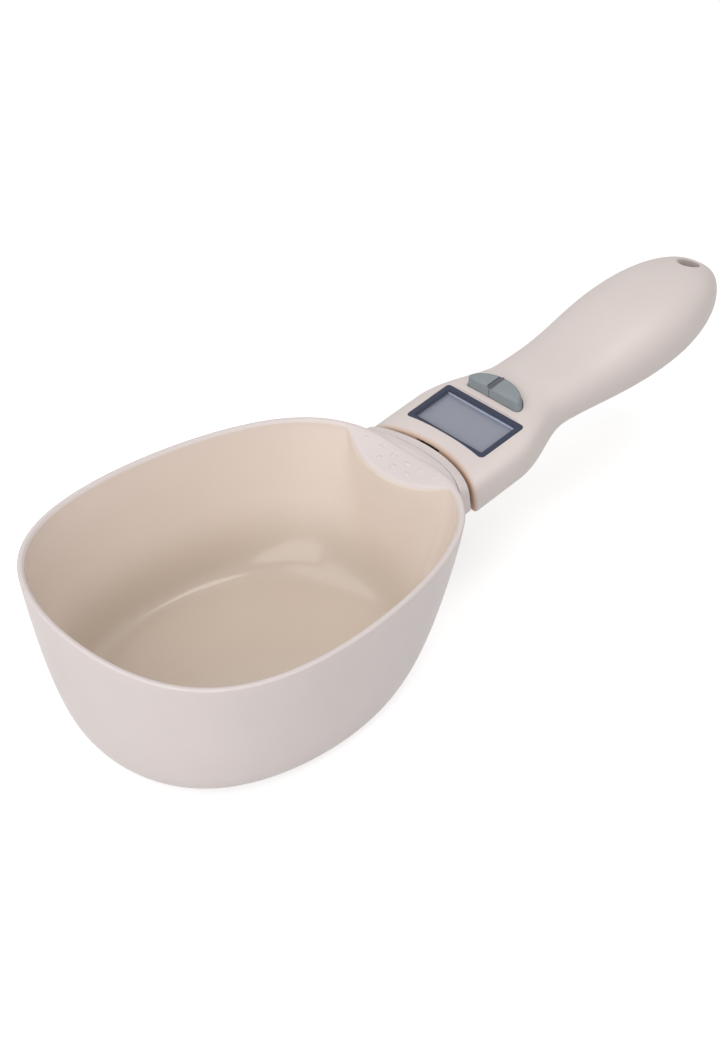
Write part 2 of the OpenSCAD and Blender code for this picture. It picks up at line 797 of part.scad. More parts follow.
// Spacing that the board's parts keep to
pitch = 1.27;
board_from_u = 0.5 - frame_l / 2;
board_bend_u = board_screw_u + 1.2;
board_half_w = half_w(board_bend_u, shell_t) - 0.6;
board_to_u = board_screw_at[2].x + screw_head_r + 0.2;
board_corners = [
    [board_bend_u + 3 * pitch, board_half_w - 2 * pitch],
    [board_to_u, board_screw_at[2].y + 1.7 * pitch]
];
module circuit_board() {
    color("#2f7a4a")
        in_handle()
            difference() {
                translate([0, 0, board_low_w])
                    linear_extrude(board_t)
                        polygon([
                            [board_from_u, -board_half_w], [board_bend_u, -board_half_w],
                            [board_corners[0].x, -board_corners[0].y],
                            [board_corners[1].x, -board_corners[1].y],
                            board_corners[1], board_corners[0],
                            [board_bend_u, board_half_w], [board_from_u, board_half_w]
                        ]);
                for (p = board_screw_at)
                    translate([p.x, p.y, board_low_w - 1])
                        cylinder(r = screw_r + 0.1, h = 3);
            }
}

// A dome of resin over the main chip, and two small packages beside the bar
module board_chips() {
    color("#22242a")
        in_handle() {
            translate([0, 8.35 * pitch, board_low_w])
                intersection() {
                    cylinder(r = 2.4 * pitch, h = 6 * pitch, center = true);
                    translate([0, 0, 2.7 * pitch])
                        sphere(r = 3.6 * pitch);
                    translate([0, 0, -4 * pitch - touch])
                        cylinder(r = 5 * pitch, h = 4 * pitch);
                }
            box(
                [-2.4 * pitch, -10.4 * pitch, board_low_w - 1.1 * pitch],
                [1.6 * pitch, -7.1 * pitch, board_low_w - touch]
            );
            box(
                [12.6 * pitch, -1.4 * pitch, board_low_w - 0.55 * pitch],
                [15.4 * pitch, 1.4 * pitch, board_low_w - touch]
            );
        }
}

// A crystal can, capacitors and resistors on the board's underside
module board_parts() {
    color("#b9a06a")
        in_handle() {
            translate([4.25 * pitch, 6.3 * pitch, board_low_w - 0.87 * pitch])
                rotate([0, 90, 0])
                    cylinder(r = 0.79 * pitch, h = 3.15 * pitch);
            for (i = [0:3])
                box(
                    [(0.16 * i - 5.5) * pitch, -(6.46 + 1.5 * i) * pitch, board_low_w - 0.47 * pitch],
                    [(0.16 * i - 4.25) * pitch, -(5.67 + 1.5 * i) * pitch, board_low_w - touch]
                );
            for (i = [0:2])
                box(
                    [(3.54 + 1.73 * i) * pitch, -7.4 * pitch, board_low_w - 0.55 * pitch],
                    [(4.57 + 1.73 * i) * pitch, -5.83 * pitch, board_low_w - touch]
                );
            translate([4.4 * pitch, 9.76 * pitch, board_low_w - 2.05 * pitch])
                cylinder(r = 1.18 * pitch, h = 2.05 * pitch - touch);
        }
}

module board_screws() {
    color("silver")
        in_handle()
            for (p = board_screw_at)
                translate([p.x, p.y, board_low_w - touch - screw_head_h])
                    screw(board_t + 1.4);
}

switch_v = [(key_split_v + pad_w / 2) / 2 - 0.8, (key_split_v - pad_w / 2) / 2 + 0.8];
switch_u = pad_u + 2.8;

// A soft sheet under the keys with a window for each switch
module key_web() {
    color("#63676c")
        in_handle()
            difference() {
                translate([0, 0, board_top_w + touch])
                    linear_extrude(0.5)
                        polygon(pad_outline(flange_out + 0.1));
                for (v = switch_v)
                    translate([switch_u, v, board_top_w])
                        cube([switch_w + 0.3, switch_w + 0.3, 4], center = true);
            }
}

// One of the two keys: side 1 is the far one, side -1 the near one
module key_form(side) {
    from = key_split_v + side * key_gap / 2;
    difference() {
        union() {
            hull() {
                translate([0, 0, inner_top_w - 0.3])
                    linear_extrude(key_top_w - key_chamfer - inner_top_w + 0.3)
                        polygon(pad_outline(0));
                translate([0, 0, key_top_w - touch])
                    linear_extrude(touch)
                        polygon(pad_outline(-key_chamfer));
            }
            translate([0, 0, inner_top_w - touch - flange_t])
                linear_extrude(flange_t)
                    polygon(pad_outline(flange_out));
        }
        translate([pad_u - 5, side > 0 ? from - 30 : from, -10])
            cube([30, 30, 30]);
        box(
            [pad_u - 1, key_split_v - key_groove / 2, key_top_w - groove_t],
            [pad_u + pad_d + 1, key_split_v + key_groove / 2, key_top_w + 1]
        );
    }
}
module unit_key() {
    color("#878d92")
        in_handle() key_form(1);
}
module power_key() {
    color("#878d92")
        in_handle() key_form(-1);
}

module plunger(v) {
    translate([switch_u, v, plunger_low_w])
        cylinder(r = plunger_r, h = inner_top_w - touch - flange_t - plunger_low_w);
}
module unit_plunger() {
    color("#30343a")
        in_handle() plunger(switch_v[0]);
}
module power_plunger() {
    color("#30343a")
        in_handle() plunger(switch_v[1]);
}

module switch_bodies() {
    color("#b8bcc2")
        in_handle()
            for (v = switch_v)
                translate([switch_u, v, board_top_w + touch])
                    difference() {
                        translate([-switch_w / 2, -switch_w / 2, 0])
                            cube([switch_w, switch_w, switch_t]);
                        translate([0, 0, 0.1])
                            cylinder(r = plunger_r + 0.1, h = 4);
                    }
}

// The bar with its two joined holes, which leave thin webs that bend under a load
bend_u = [-9, -3.5];
bend_r = cell_bar_t / 2 - 0.6;
module load_cell() {
    color("#c9ccd0")
        in_handle()
            difference() {
                box([bar_from_u, -cell_bar_w / 2, bar_low_w], [bar_to_u, cell_bar_w / 2, bar_top_w]);
                for (u = bend_u)
                    translate([u, 0, (bar_low_w + bar_top_w) / 2])
                        rotate([90, 0, 0])
                            cylinder(r = bend_r, h = cell_bar_w + 2, center = true);
                box(
                    [bend_u[0], -cell_bar_w, (bar_low_w + bar_top_w) / 2 - 0.7],
                    [bend_u[1], cell_bar_w, (bar_low_w + bar_top_w) / 2 + 0.7]
                );
                for (u = concat(neck_cell_screw_u, head_cell_screw_u))
                    translate([u, 0, bar_low_w - 1])
                        cylinder(r = screw_r + screw_gap, h = 1 + cell_bar_t - 0.8);
            }
}

module strain_gauges() {
    color("#b5813c")
        in_handle()
            for (u = bend_u, w = [bar_top_w + touch, bar_low_w - touch - 0.12])
                box([u - 2, -3.5, w], [u + 2, 3.5, w + 0.12]);
}

// The bar's screws: from under the collar, and from under the handle's cover
module load_cell_screws() {
    color("silver")
        in_handle() {
            for (u = neck_cell_screw_u)
                translate([u, 0, neck_low_w + screw_sink])
                    screw(bar_low_w + 3.5 - neck_low_w - screw_sink - screw_head_h);
            for (u = head_cell_screw_u)
                translate([u, 0, low_w(u, 0) + screw_sink])
                    screw(bar_low_w + 3.5 - low_w(u, 0) - screw_sink - screw_head_h);
        }
}

// A soft ring round the bar that closes the head's mouth
module gap_seal() {
    seal_u = arc_u(0, front_r) + 0.3;
    color("#26262a")
        in_handle()
            translate([seal_u, 0, 0])
                rotate([90, 0, 90])
                    linear_extrude(1.3)
                        difference() {
                            polygon([for (f = [0:10:350]) let (p = mouth_at(f)) [
                                p.y * (1 - touch / mouth_half_w),
                                p.z - sign(sin(f)) * touch
                            ]]);
                            translate([-cell_bar_w / 2 - touch, bar_low_w - touch])
                                square([cell_bar_w + 2 * touch, cell_bar_t + 2 * touch]);
                        }
}

// A round wire of radius r through points that run mainly along the handle
module wire(path, r) {
    n = len(path);
    skin([for (i = [0:n - 1])
        let (
            t = path[min(n - 1, i + 1)] - path[max(0, i - 1)],
            a = cross(t, [0, 1, 0]) / norm(cross(t, [0, 1, 0])),
            b = cross(t, a) / norm(t)
        )
        [for (f = [0:45:315]) path[i] + r * (cos(f) * a + sin(f) * b)]]);
}

// Four thin leads from the gauges, up beside the bar to the board
module sensor_wires() {
    color("#c23b3b")
        in_handle()
            for (i = [0:3]) {
                u = bend_u[0] + 0.8 * i * pitch;
                v = cell_bar_w / 2 + 0.7 * (1 + i) * pitch;
                wire([
                    [u + 2 * pitch, v, bar_top_w - 1.9 * pitch],
                    [u + 2.8 * pitch, v, bar_top_w - 2.05 * pitch],
                    [u + 4.7 * pitch, v, bar_top_w - 1.73 * pitch],
                    [u + 6.3 * pitch, v, bar_top_w - 0.8 * pitch],
                    [u + 7.4 * pitch, v, board_low_w - 0.32 * pitch]
                ], 0.24 * pitch);
            }
}

// Half the width of a contact plate, and how far to the side the leads run
plate_half = 0.72 * battery_r;
lead_v = 6.3 * pitch;
// Two troughs, open below, that hold the cells
module battery_tray() {
    color("#8f8a86")
        in_handle()
            difference() {
                union() {
                    for (v = [-cell_v, cell_v])
                        translate([tray_from_u, v, cell_w])
                            rotate([0, 90, 0])
                                cylinder(r = battery_r + tray_gap + tray_wall, h = tray_to_u - tray_from_u);
                    box(
                        [tray_from_u, -cell_v, cell_w - 0.8 * pitch],
                        [tray_to_u, cell_v, cell_w + battery_r + tray_gap + tray_wall - 0.4]
                    );
                }
                for (v = [-cell_v, cell_v])
                    translate([tray_from_u + tray_wall, v, cell_w])
                        rotate([0, 90, 0])
                            cylinder(r = battery_r + tray_gap, h = tray_to_u - tray_from_u - 2 * tray_wall);
                box(
                    [tray_from_u - 1, -4 * battery_r, cell_w - 4 * battery_r],
                    [tray_to_u + 1, 4 * battery_r, cell_w - 0.8 * pitch]
                );
                for (v = [-cell_v, cell_v])
                    box([tray_from_u + tray_wall, v - battery_r - tray_gap, cell_w - 5],
                        [tray_to_u - tray_wall, v + battery_r + tray_gap, cell_w]);
                for (v = [-lead_v, lead_v])
                    box(
                        [tray_from_u - 1, v - 0.8 * pitch, cell_w - 1.6 * pitch],
                        [tray_from_u + 1.6 * pitch, v + 0.8 * pitch, cell_w + 0.5 * pitch]
                    );
                // Notch in the web between the troughs for the plate that joins the cells
                box(
                    [cell_end_u - touch, -cell_v, cell_w - plate_half - 0.2],
                    [cell_end_u + contact_t, cell_v, cell_w + 0.8 * plate_half + touch]
                );
            }
}

plus_l = 0.8;
// One cell with its button, from its flat end along the handle
module cell_form() {
    rotate([0, 90, 0]) {
        cylinder(r = battery_r, h = battery_l);
        translate([0, 0, battery_l - touch])
            cylinder(r = 1.9, h = plus_l + touch);
    }
}
module battery_cells() {
    color("#5b6670")
        in_handle() {
            translate([cell_end_u - touch - plus_l - battery_l, cell_v, cell_w])
                cell_form();
            translate([cell_start_u + touch + plus_l + battery_l, -cell_v, cell_w])
                mirror([1, 0, 0])
                    cell_form();
        }
}

// A coil spring from its wide end at the origin along the handle to a narrow end
spring_rings = 8 * spring_turns;
module spring(length) {
    skin([for (i = [0:spring_rings])
        let (
            t = i / spring_rings,
            a = 360 * spring_turns * t,
            r = mix(3.2, 2, t),
            out = [0, cos(a), sin(a)]
        )
        [for (f = [0:60:300])
            [spring_wire_r + (length - 2 * spring_wire_r) * t, 0, 0] + r * out
                + spring_wire_r * (cos(f) * out + [sin(f), 0, 0])]]);
}
spring_room = cell_end_u - cell_start_u - plus_l - battery_l - 3 * touch;
module battery_springs() {
    color("silver")
        in_handle() {
            translate([cell_start_u + touch, cell_v, cell_w])
                spring(spring_room);
            translate([cell_end_u - touch, -cell_v, cell_w])
                mirror([1, 0, 0])
                    spring(spring_room);
        }
}

module contact_plates() {
    color("silver")
        in_handle() {
            for (v = [-cell_v, cell_v])
                box(
                    [cell_start_u - contact_t + touch, v - plate_half, cell_w - plate_half],
                    [cell_start_u, v + plate_half, cell_w + plate_half]
                );
            box(
                [cell_end_u, -cell_v - plate_half, cell_w - plate_half],
                [cell_end_u + contact_t - touch, cell_v + plate_half, cell_w + 0.8 * plate_half]
            );
        }
}

// Two leads from the battery contacts to the board
module battery_wires() {
    color("#1d1d20")
        in_handle()
            for (i = [-1, 1])
                wire([
                    [tray_from_u + tray_wall - 0.2, i * lead_v, cell_w],
                    [bay_from_u - 3.15 * pitch, i * lead_v, cell_w],
                    [bay_from_u - 6.3 * pitch, i * 0.9 * lead_v, cell_w + 0.63 * pitch],
                    [bay_from_u - 10.2 * pitch, i * 0.5 * lead_v, cell_w + 1.57 * pitch],
                    [bay_from_u - 14.2 * pitch, i * 0.42 * lead_v, cell_w + 2.68 * pitch],
                    [board_to_u - 0.8 * pitch, i * 0.42 * lead_v, board_low_w - 1.1 * pitch],
                    [board_to_u - 2 * pitch, i * 0.42 * lead_v, board_low_w - 0.55 * pitch]
                ], 0.47 * pitch);
}

hinge_w = low_w(hinge_u, 0) + hinge_r;
module battery_door() {
    us = stations_between(bay_from_u + door_gap, hinge_u);
    side = door_gap * 4;
    color("#cbbfba")
        in_handle() {
            grip_wall(180 + seam_angle + side, 360 - seam_angle - side, 14, us, []);
            translate([hinge_u, 0, hinge_w])
                rotate([90, 0, 0])
                    cylinder(r = hinge_r, h = 2 * hinge_half_w, center = true);
        }
}

scoop_bowl();
neck_collar();
neck_screws();
handle_shell();
handle_cover();
tail_cover();
cover_screws();
hang_sleeve();
display_window();
display_mask();
lcd_glass();
lcd_frame();
zebra_strips();
circuit_board();
board_chips();
board_parts();
board_screws();
key_web();
unit_key();
power_key();
unit_plunger();
power_plunger();
switch_bodies();
load_cell();
strain_gauges();
load_cell_screws();
gap_seal();
sensor_wires();
battery_tray();
battery_cells();
battery_springs();
contact_plates();
battery_wires();
battery_door();
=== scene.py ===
"""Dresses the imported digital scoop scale: smooth surfaces, finishes, floor, lights and camera."""

from __future__ import annotations

import logging
import math
from dataclasses import dataclass
from enum import Enum
from itertools import pairwise

import bpy
import numpy as np
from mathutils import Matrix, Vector

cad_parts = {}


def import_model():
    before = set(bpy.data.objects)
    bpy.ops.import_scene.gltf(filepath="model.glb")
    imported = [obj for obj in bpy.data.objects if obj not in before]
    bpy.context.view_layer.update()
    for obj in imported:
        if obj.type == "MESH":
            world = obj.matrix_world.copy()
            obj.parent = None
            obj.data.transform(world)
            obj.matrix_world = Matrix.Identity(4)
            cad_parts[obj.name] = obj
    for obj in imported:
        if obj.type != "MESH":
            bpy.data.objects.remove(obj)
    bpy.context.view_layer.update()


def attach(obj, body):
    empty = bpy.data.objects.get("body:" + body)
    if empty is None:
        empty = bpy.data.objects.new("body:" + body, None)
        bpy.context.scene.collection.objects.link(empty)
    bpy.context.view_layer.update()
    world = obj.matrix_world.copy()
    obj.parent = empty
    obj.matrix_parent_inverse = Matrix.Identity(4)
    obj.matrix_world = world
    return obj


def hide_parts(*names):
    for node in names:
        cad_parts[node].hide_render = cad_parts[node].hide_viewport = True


LOG = logging.getLogger("scoop_scale")
MM = 0.001
Array = np.ndarray
Pair = tuple[float, float]
Triple = tuple[float, float, float]
Piece = bpy.types.Object
Tree = bpy.types.NodeTree
Socket = bpy.types.NodeSocket


class Side(Enum):
    """Which of the two keys a piece belongs to."""

    FAR = 1
    NEAR = -1


# Curves and outlines


def ease(t: Array) -> Array:
    """Smooth step: half a cosine wave from 0 to 1."""
    return (1.0 - np.cos(np.pi * np.clip(t, 0.0, 1.0))) / 2.0


def mix(a: Array, b: Array, t: Array) -> Array:
    """Straight blend from a to b."""
    return a + (b - a) * t


def span(values: tuple[float, ...], places: tuple[float, ...], u: Array) -> Array:
    """Values that hold at rising places, joined by half cosine waves."""
    out = np.full_like(u, values[0], dtype=float)
    for (a, b), (start, end) in zip(pairwise(values), pairwise(places)):
        out = np.where(u > start, mix(a, b, ease((u - start) / (end - start))), out)
    return out


def signed_pow(v: Array, e: Array) -> Array:
    """Power of the magnitude, with the sign kept."""
    return np.sign(v) * np.abs(v) ** e


def oval(half: Array, top: Array, low: Array, e: Array, f: Array) -> tuple[Array, Array]:
    """Side and height of a superellipse at the angles f: an ellipse for e = 1, squarer for less."""
    w = (top + low) / 2 + (top - low) / 2 * signed_pow(np.sin(f), e)
    return half * signed_pow(np.cos(f), e), w


def turn(step: float) -> Array:
    """Angles of a full turn, in radians, by a step in degrees."""
    return np.radians(np.arange(0, 360, step))


def quarter(count: int) -> Array:
    """Evenly spread angles of a quarter turn, in radians."""
    return np.radians(np.linspace(0, 90, count))


def circle(r: float, at: Pair = (0.0, 0.0), n: int = 72) -> Array:
    """Outline of a circle."""
    t = np.linspace(0, 2 * np.pi, n, endpoint=False)
    return np.stack([at[0] + r * np.cos(t), at[1] + r * np.sin(t)], -1)


def round_box(l: float, w: float, r: float, at: Pair = (0.0, 0.0), steps: int = 8) -> Array:
    """Outline of a rectangle l by w with quarter rounds of radius r at its corners."""
    t = quarter(steps + 1)
    arc = np.stack([np.cos(t), np.sin(t)], -1) * r
    corner = np.array([[1, 1], [-1, 1], [-1, -1], [1, -1]]) * [l / 2 - r, w / 2 - r]
    turns = (arc, arc[::-1] * [-1, 1], -arc, arc[::-1] * [1, -1])
    return np.concatenate([c + bend for c, bend in zip(corner, turns)]) + at


def outward(outline: Array) -> Array:
    """Unit normals of a closed outline that turns from its first axis to its second."""
    q = np.roll(outline, -1, 0) - np.roll(outline, 1, 0)
    return np.stack([q[:, 1], -q[:, 0]], -1) / np.linalg.norm(q, axis=-1, keepdims=True)


def lift(flat: Array, z: Array | float) -> Array:
    """Places of a plane, each at its height or all at one."""
    return np.concatenate([flat, np.broadcast_to(z, len(flat))[:, None]], -1)


# Meshes


def quads(rows: int, cols: int, base: int = 0, closed: bool = True) -> Array:
    """Faces of a grid of points stored row by row from the index base on; closed joins the rows' ends."""
    j, k = np.meshgrid(np.arange(rows - 1), np.arange(cols if closed else cols - 1), indexing="ij")
    n = (k + 1) % cols
    f = np.stack([j * cols + k, j * cols + n, (j + 1) * cols + n, (j + 1) * cols + k], -1)
    return f.reshape(-1, 4) + base


def fan(ring: Array, pole: int) -> Array:
    """Triangles from a closed ring of point numbers to one pole."""
    return np.stack([ring, np.roll(ring, -1), np.full_like(ring, pole)], -1)


def loft(rings: Array, last: bool = True) -> list[Array]:
    """Faces of a stack of closed rings, with one face over its first ring and one over its last."""
    rows, cols = rings.shape[:2]
    ring = np.arange(cols)
    faces = [quads(rows, cols), ring[::-1][None]]
    return faces + [(ring + (rows - 1) * cols)[None]] if last else faces


def lofts(stacks: Array) -> list[Array]:
    """Faces of several stacks of the same size, one after the other."""
    one = stacks.shape[1] * stacks.shape[2]
    return [face + i * one for i, rings in enumerate(stacks) for face in loft(rings)]


def hoop(rings: Array) -> list[Array]:
    """Faces of a stack of closed rings whose last ring joins its first."""
    rows, cols = rings.shape[:2]
    closing = quads(2, cols, (rows - 1) * cols)
    closing[:, 2:] -= rows * cols
    return [quads(rows, cols), closing]


def smooth(mesh: bpy.types.Mesh, sharp: float) -> None:
    """Shades a mesh smooth, with edges sharper than the angle sharp, in degrees, left hard."""
    mesh.polygons.foreach_set("use_smooth", np.ones(len(mesh.polygons), bool))
    mesh.set_sharp_from_angle(angle=math.radians(sharp))


def build(name: str, points: Array, faces: list[Array], body: str = "", sharp: float = 38.0) -> Piece:
    """Puts arrays of points and faces into a mesh object.

    Args:
        name: The object's name.
        points: Points in millimetres, in the row frame.
        faces: Arrays of faces; the faces of one array have the same number of corners.
        body: The body that the piece rides on, or "" for none.
        sharp: Edges sharper than this angle, in degrees, stay hard.

    Returns:
        The new object.
    """
    mesh = bpy.data.meshes.new(name)
    points = points.reshape(-1, 3)
    sizes = np.concatenate([np.full(len(f), f.shape[1], np.int32) for f in faces])
    loops = np.concatenate([f.ravel() for f in faces]).astype(np.int32)
    mesh.vertices.add(len(points))
    mesh.vertices.foreach_set("co", (points * MM).astype(np.float32).ravel())
    mesh.loops.add(len(loops))
    mesh.loops.foreach_set("vertex_index", loops)
    mesh.polygons.add(len(sizes))
    mesh.polygons.foreach_set("loop_start", (np.cumsum(sizes) - sizes).astype(np.int32))
    mesh.update(calc_edges=True)
    mesh.validate()
    smooth(mesh, sharp)
    piece = bpy.data.objects.new(name, mesh)
    bpy.context.scene.collection.objects.link(piece)
    if body:
        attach(piece, body)
    return piece


def carve(piece: Piece, cutters: list[Piece], sharp: float = 38.0) -> None:
    """Cuts closed meshes out of a piece, shades the result by the angle sharp, and removes the meshes."""
    for cutter in cutters:
        cut = piece.modifiers.new("cut", "BOOLEAN")
        cut.operation = "DIFFERENCE"
        cut.solver = "EXACT"
        cut.object = cutter
    bpy.context.view_layer.update()
    result = bpy.data.meshes.new_from_object(piece.evaluated_get(bpy.context.evaluated_depsgraph_get()))
    piece.modifiers.clear()
    old, piece.data = piece.data, result
    bpy.data.meshes.remove(old)
    smooth(result, sharp)
    for cutter in cutters:
        bpy.data.objects.remove(cutter)


# Finishes


def feed(tree: Tree, made: bpy.types.Node, *slots: object, **named: object) -> bpy.types.Node:
    """Sets a node's inputs, given in order or by name, to values, or links them to sockets."""
    inputs = [*enumerate(slots), *((key.replace("_", " "), value) for key, value in named.items())]
    for key, value in inputs:
        if isinstance(value, Socket):
            tree.links.new(value, made.inputs[key])
        else:
            made.inputs[key].default_value = value
    return made


def node(tree: Tree, kind: str, *slots: object, **named: object) -> bpy.types.Node:
    """Adds a shader node, with inputs set or linked."""
    return feed(tree, tree.nodes.new("ShaderNode" + kind), *slots, **named)


def maths(tree: Tree, operation: str, *slots: object, kind: str = "Math", out: int = 0) -> Socket:
    """Adds a node for one operation, and gives the socket of its result."""
    made = node(tree, kind, *slots)
    made.operation = operation
    return made.outputs[out]


def place(tree: Tree) -> Socket:
    """The Object coordinates."""
    return node(tree, "TexCoord").outputs["Object"]


def tint(tree: Tree, share: Socket, colour: Triple) -> None:
    """Blends the base colour towards another one by a share from 0 to 1."""
    shader = tree.nodes["Principled BSDF"]
    old = shader.inputs["Base Color"].links[0].from_socket
    blend = node(tree, "MixRGB", Fac=share, Color1=old, Color2=(*colour, 1.0))
    feed(tree, shader, Base_Color=blend.outputs["Color"])


def fade(tree: Tree, value: Socket, near: float, far: float, colour: Triple) -> None:
    """Tints the base colour: wholly up to the value near, and no more from the value far on."""
    share = node(tree, "MapRange", value, From_Min=near, From_Max=far, To_Min=1.0, To_Max=0.0)
    share.interpolation_type = "SMOOTHSTEP"
    tint(tree, share.outputs["Result"], colour)


@dataclass(frozen=True)
class Finish:
    """A moulded, rubber or metal finish: mottled colour, patchy roughness and a fine bump."""

    name: str
    colour: Triple
    roughness: float = 0.45
    metallic: float = 0.0
    mottle: float = 0.03
    mottle_scale: float = 60.0
    grain: float = 0.02
    grain_scale: float = 2500.0
    wear: float = 0.08
    specular: float = 0.5
    alpha: float = 1.0
    coat: float = 0.0
    coat_roughness: float = 0.12
    brushed: bool = False

    def material(self) -> bpy.types.Material:
        """Makes the node material, or finds the one made before."""
        found = bpy.data.materials.get(self.name)
        if found:
            return found
        made = bpy.data.materials.new(self.name)
        made.use_nodes = True
        tree = made.node_tree
        stretch = (1.0, 14.0, 14.0) if self.brushed else (1.0, 1.0, 1.0)
        where = node(tree, "Mapping", Vector=place(tree), Scale=stretch).outputs["Vector"]
        cloud = node(tree, "TexNoise", where, Scale=self.mottle_scale, Detail=3.0, Roughness=0.55)
        ramp = node(tree, "ValToRGB", cloud.outputs["Fac"])
        for stop, at, more in zip(ramp.color_ramp.elements, (0.3, 0.7), (-self.mottle, self.mottle)):
            stop.position = at
            stop.color = (*(min(1.0, c * (1.0 + more)) for c in self.colour), 1.0)
        patch = node(tree, "TexNoise", where, Scale=self.mottle_scale * 2.3, Detail=2.0)
        least, most = max(0.02, self.roughness - self.wear), min(1.0, self.roughness + self.wear)
        rough = node(tree, "MapRange", patch.outputs["Fac"], To_Min=least, To_Max=most)
        fine = node(tree, "TexNoise", where, Scale=self.grain_scale, Detail=2.0)
        bump = node(tree, "Bump", Height=fine.outputs["Fac"], Strength=self.grain, Distance=0.0002)
        shader = tree.nodes["Principled BSDF"]
        feed(tree, shader, Base_Color=ramp.outputs["Color"], Roughness=rough.outputs["Result"])
        feed(tree, shader, Normal=bump.outputs["Normal"], Metallic=self.metallic, Alpha=self.alpha)
        feed(tree, shader, Specular_IOR_Level=self.specular)
        if self.coat:
            feed(tree, shader, Coat_Weight=self.coat, Coat_Roughness=self.coat_roughness)
        self.extra(tree)
        return made

    def extra(self, tree: Tree) -> None:
        """Adds what only some kinds of finish have."""


@dataclass(frozen=True)
class ShadedDisplayCell(Finish):
    """The switched-off display: grey, with painted shade that darkens it towards its border, where the
    recess's walls shade it.
    """

    centre: Pair = (0.0884, 0.0)
    half: Pair = (0.0067, 0.0131)
    powers: Pair = (6.0, 12.0)
    # edge: the colour of the painted shade at the border.
    edge: Triple = (0.19, 0.21, 0.27)

    def extra(self, tree: Tree) -> None:
        """Paints shade: darkens the colour by a power of the distance from the middle, along the larger
        axis.
        """
        where = node(tree, "Mapping", place(tree), Location=(*self.centre, 0.0), Scale=(*self.half, 1.0))
        where.vector_type = "TEXTURE"
        axes = node(tree, "SeparateXYZ", where.outputs["Vector"]).outputs
        painted_shades = [maths(tree, "POWER", maths(tree, "ABSOLUTE", v), p) for v, p in zip(axes, self.powers)]
        tint(tree, maths(tree, "MAXIMUM", *painted_shades), self.edge)


@dataclass(frozen=True)
class BowlFinish(Finish):
    """The bowl's inner face, with painted light: thin walls painted lighter for light that comes through
    them, and painted shade that darkens the thicker floor.
    """

    painted_floor_shade: Triple = (0.60, 0.51, 0.43)
    low: float = 0.003
    high: float = 0.024

    def extra(self, tree: Tree) -> None:
        """Paints the floor's shade: blends the darker floor colour into the walls' colour by height."""
        height = node(tree, "SeparateXYZ", place(tree)).outputs["Z"]
        fade(tree, height, self.low, self.high, self.painted_floor_shade)


@dataclass(frozen=True)
class HousingFinish(Finish):
    """The housing's plastic, with painted warm shade where light bounces between the collar and the hollow
    front.
    """

    painted_warm_shade: Triple = (0.56, 0.38, 0.27)
    centre: Triple = (0.029838, 0.0, 0.035672)
    axis: Triple = (-0.140901, 0.0, 0.990024)
    near: float = 0.0455
    far: float = 0.0474

    def extra(self, tree: Tree) -> None:
        """Paints the warm shade by the distance from the axis of the hollow front."""
        away = maths(tree, "SUBTRACT", place(tree), self.centre, kind="VectorMath")
        across = maths(tree, "CROSS_PRODUCT", away, self.axis, kind="VectorMath")
        distance = maths(tree, "LENGTH", across, kind="VectorMath", out=1)
        fade(tree, distance, self.near, self.far, self.painted_warm_shade)


BOWL_OUTSIDE = Finish("bowl_outside", (0.715, 0.640, 0.625), 0.42, mottle=0.012, grain=0.03)
# The inner face's colour is lighter than the outside's: painted light for what comes through the thin
# walls.
BOWL_INSIDE = BowlFinish("bowl_inside", (0.84, 0.74, 0.665), 0.16, mottle=0.01, grain=0.01, wear=0.04)
HOUSING = HousingFinish("housing", (0.705, 0.630, 0.605), mottle=0.012, grain=0.04)
# The underside's pieces: a rougher copy of the housing's plastic, darker as painted shade on faces turned
# down.
HOUSING_LOW_SHADED = Finish("housing_underside_painted_shade", (0.66, 0.59, 0.565), 0.52, mottle=0.015, grain=0.06)
KEY = Finish("key_grey", (0.225, 0.255, 0.275), 0.55, grain=0.06)
# Painted shade for the groove between the keys.
KEY_GROOVE_SHADE = Finish("key_groove", (0.11, 0.115, 0.13), 0.6, grain=0.06)
KEY_WEB = Finish("key_web_rubber", (0.10, 0.11, 0.12), 0.7, mottle=0.05, grain=0.08)
BORDER = Finish("display_border", (0.044, 0.052, 0.085), 0.4, mottle=0.02, grain=0.0, specular=0.2)
WINDOW = Finish(
    "display_window", (0.3, 0.33, 0.42), 0.1, mottle=0.005, grain=0.0, alpha=0.08, wear=0.02, specular=0.25
)
DISPLAY = ShadedDisplayCell("display_cell_painted_shade", (0.345, 0.358, 0.41), 0.4, mottle=0.01, grain=0.0, specular=0.2)
STEEL = Finish("screw_steel", (0.56, 0.56, 0.57), 0.32, 1.0, 0.06, grain=0.1, brushed=True)
NICKEL = Finish("contact_nickel", (0.66, 0.64, 0.60), 0.22, 1.0, 0.05)
ALLOY = Finish("bar_alloy", (0.72, 0.73, 0.75), 0.36, 1.0, 0.05, grain=0.15, brushed=True)
BOARD = Finish("board_green", (0.03, 0.19, 0.08), 0.3, mottle=0.12, mottle_scale=900.0, coat=0.3)
PACKAGE = Finish("package_black", (0.02, 0.02, 0.022), 0.5, mottle=0.1, mottle_scale=400.0)
COMPONENT = Finish("component_tan", (0.42, 0.31, 0.14), 0.4, mottle=0.2, mottle_scale=700.0)
# Painted highlight: the pale line of light along the display's far inner edge.
LIP_HIGHLIGHT = Finish("frame_lip_painted_highlight", (0.52, 0.57, 0.72), 0.4, mottle=0.02)
WHITE = Finish("white_frame", (0.72, 0.71, 0.68), 0.5)
STRIP = Finish("contact_strip", (0.50, 0.14, 0.18), 0.6, mottle=0.25, mottle_scale=3000.0)
GAUGE = Finish("gauge_film", (0.50, 0.29, 0.07), 0.25, mottle=0.2, mottle_scale=1500.0, coat=0.4)
SEAL = Finish("seal_rubber", (0.02, 0.02, 0.021), 0.75, mottle=0.1, grain=0.15)
WIRE_RED = Finish("wire_red", (0.42, 0.03, 0.03), 0.4, mottle=0.05)
WIRE_BLACK = Finish("wire_black", (0.015, 0.015, 0.016), 0.4, mottle=0.05)
JACKET = Finish("cell_jacket", (0.10, 0.16, 0.22), 0.3, mottle=0.06, coat=0.5)

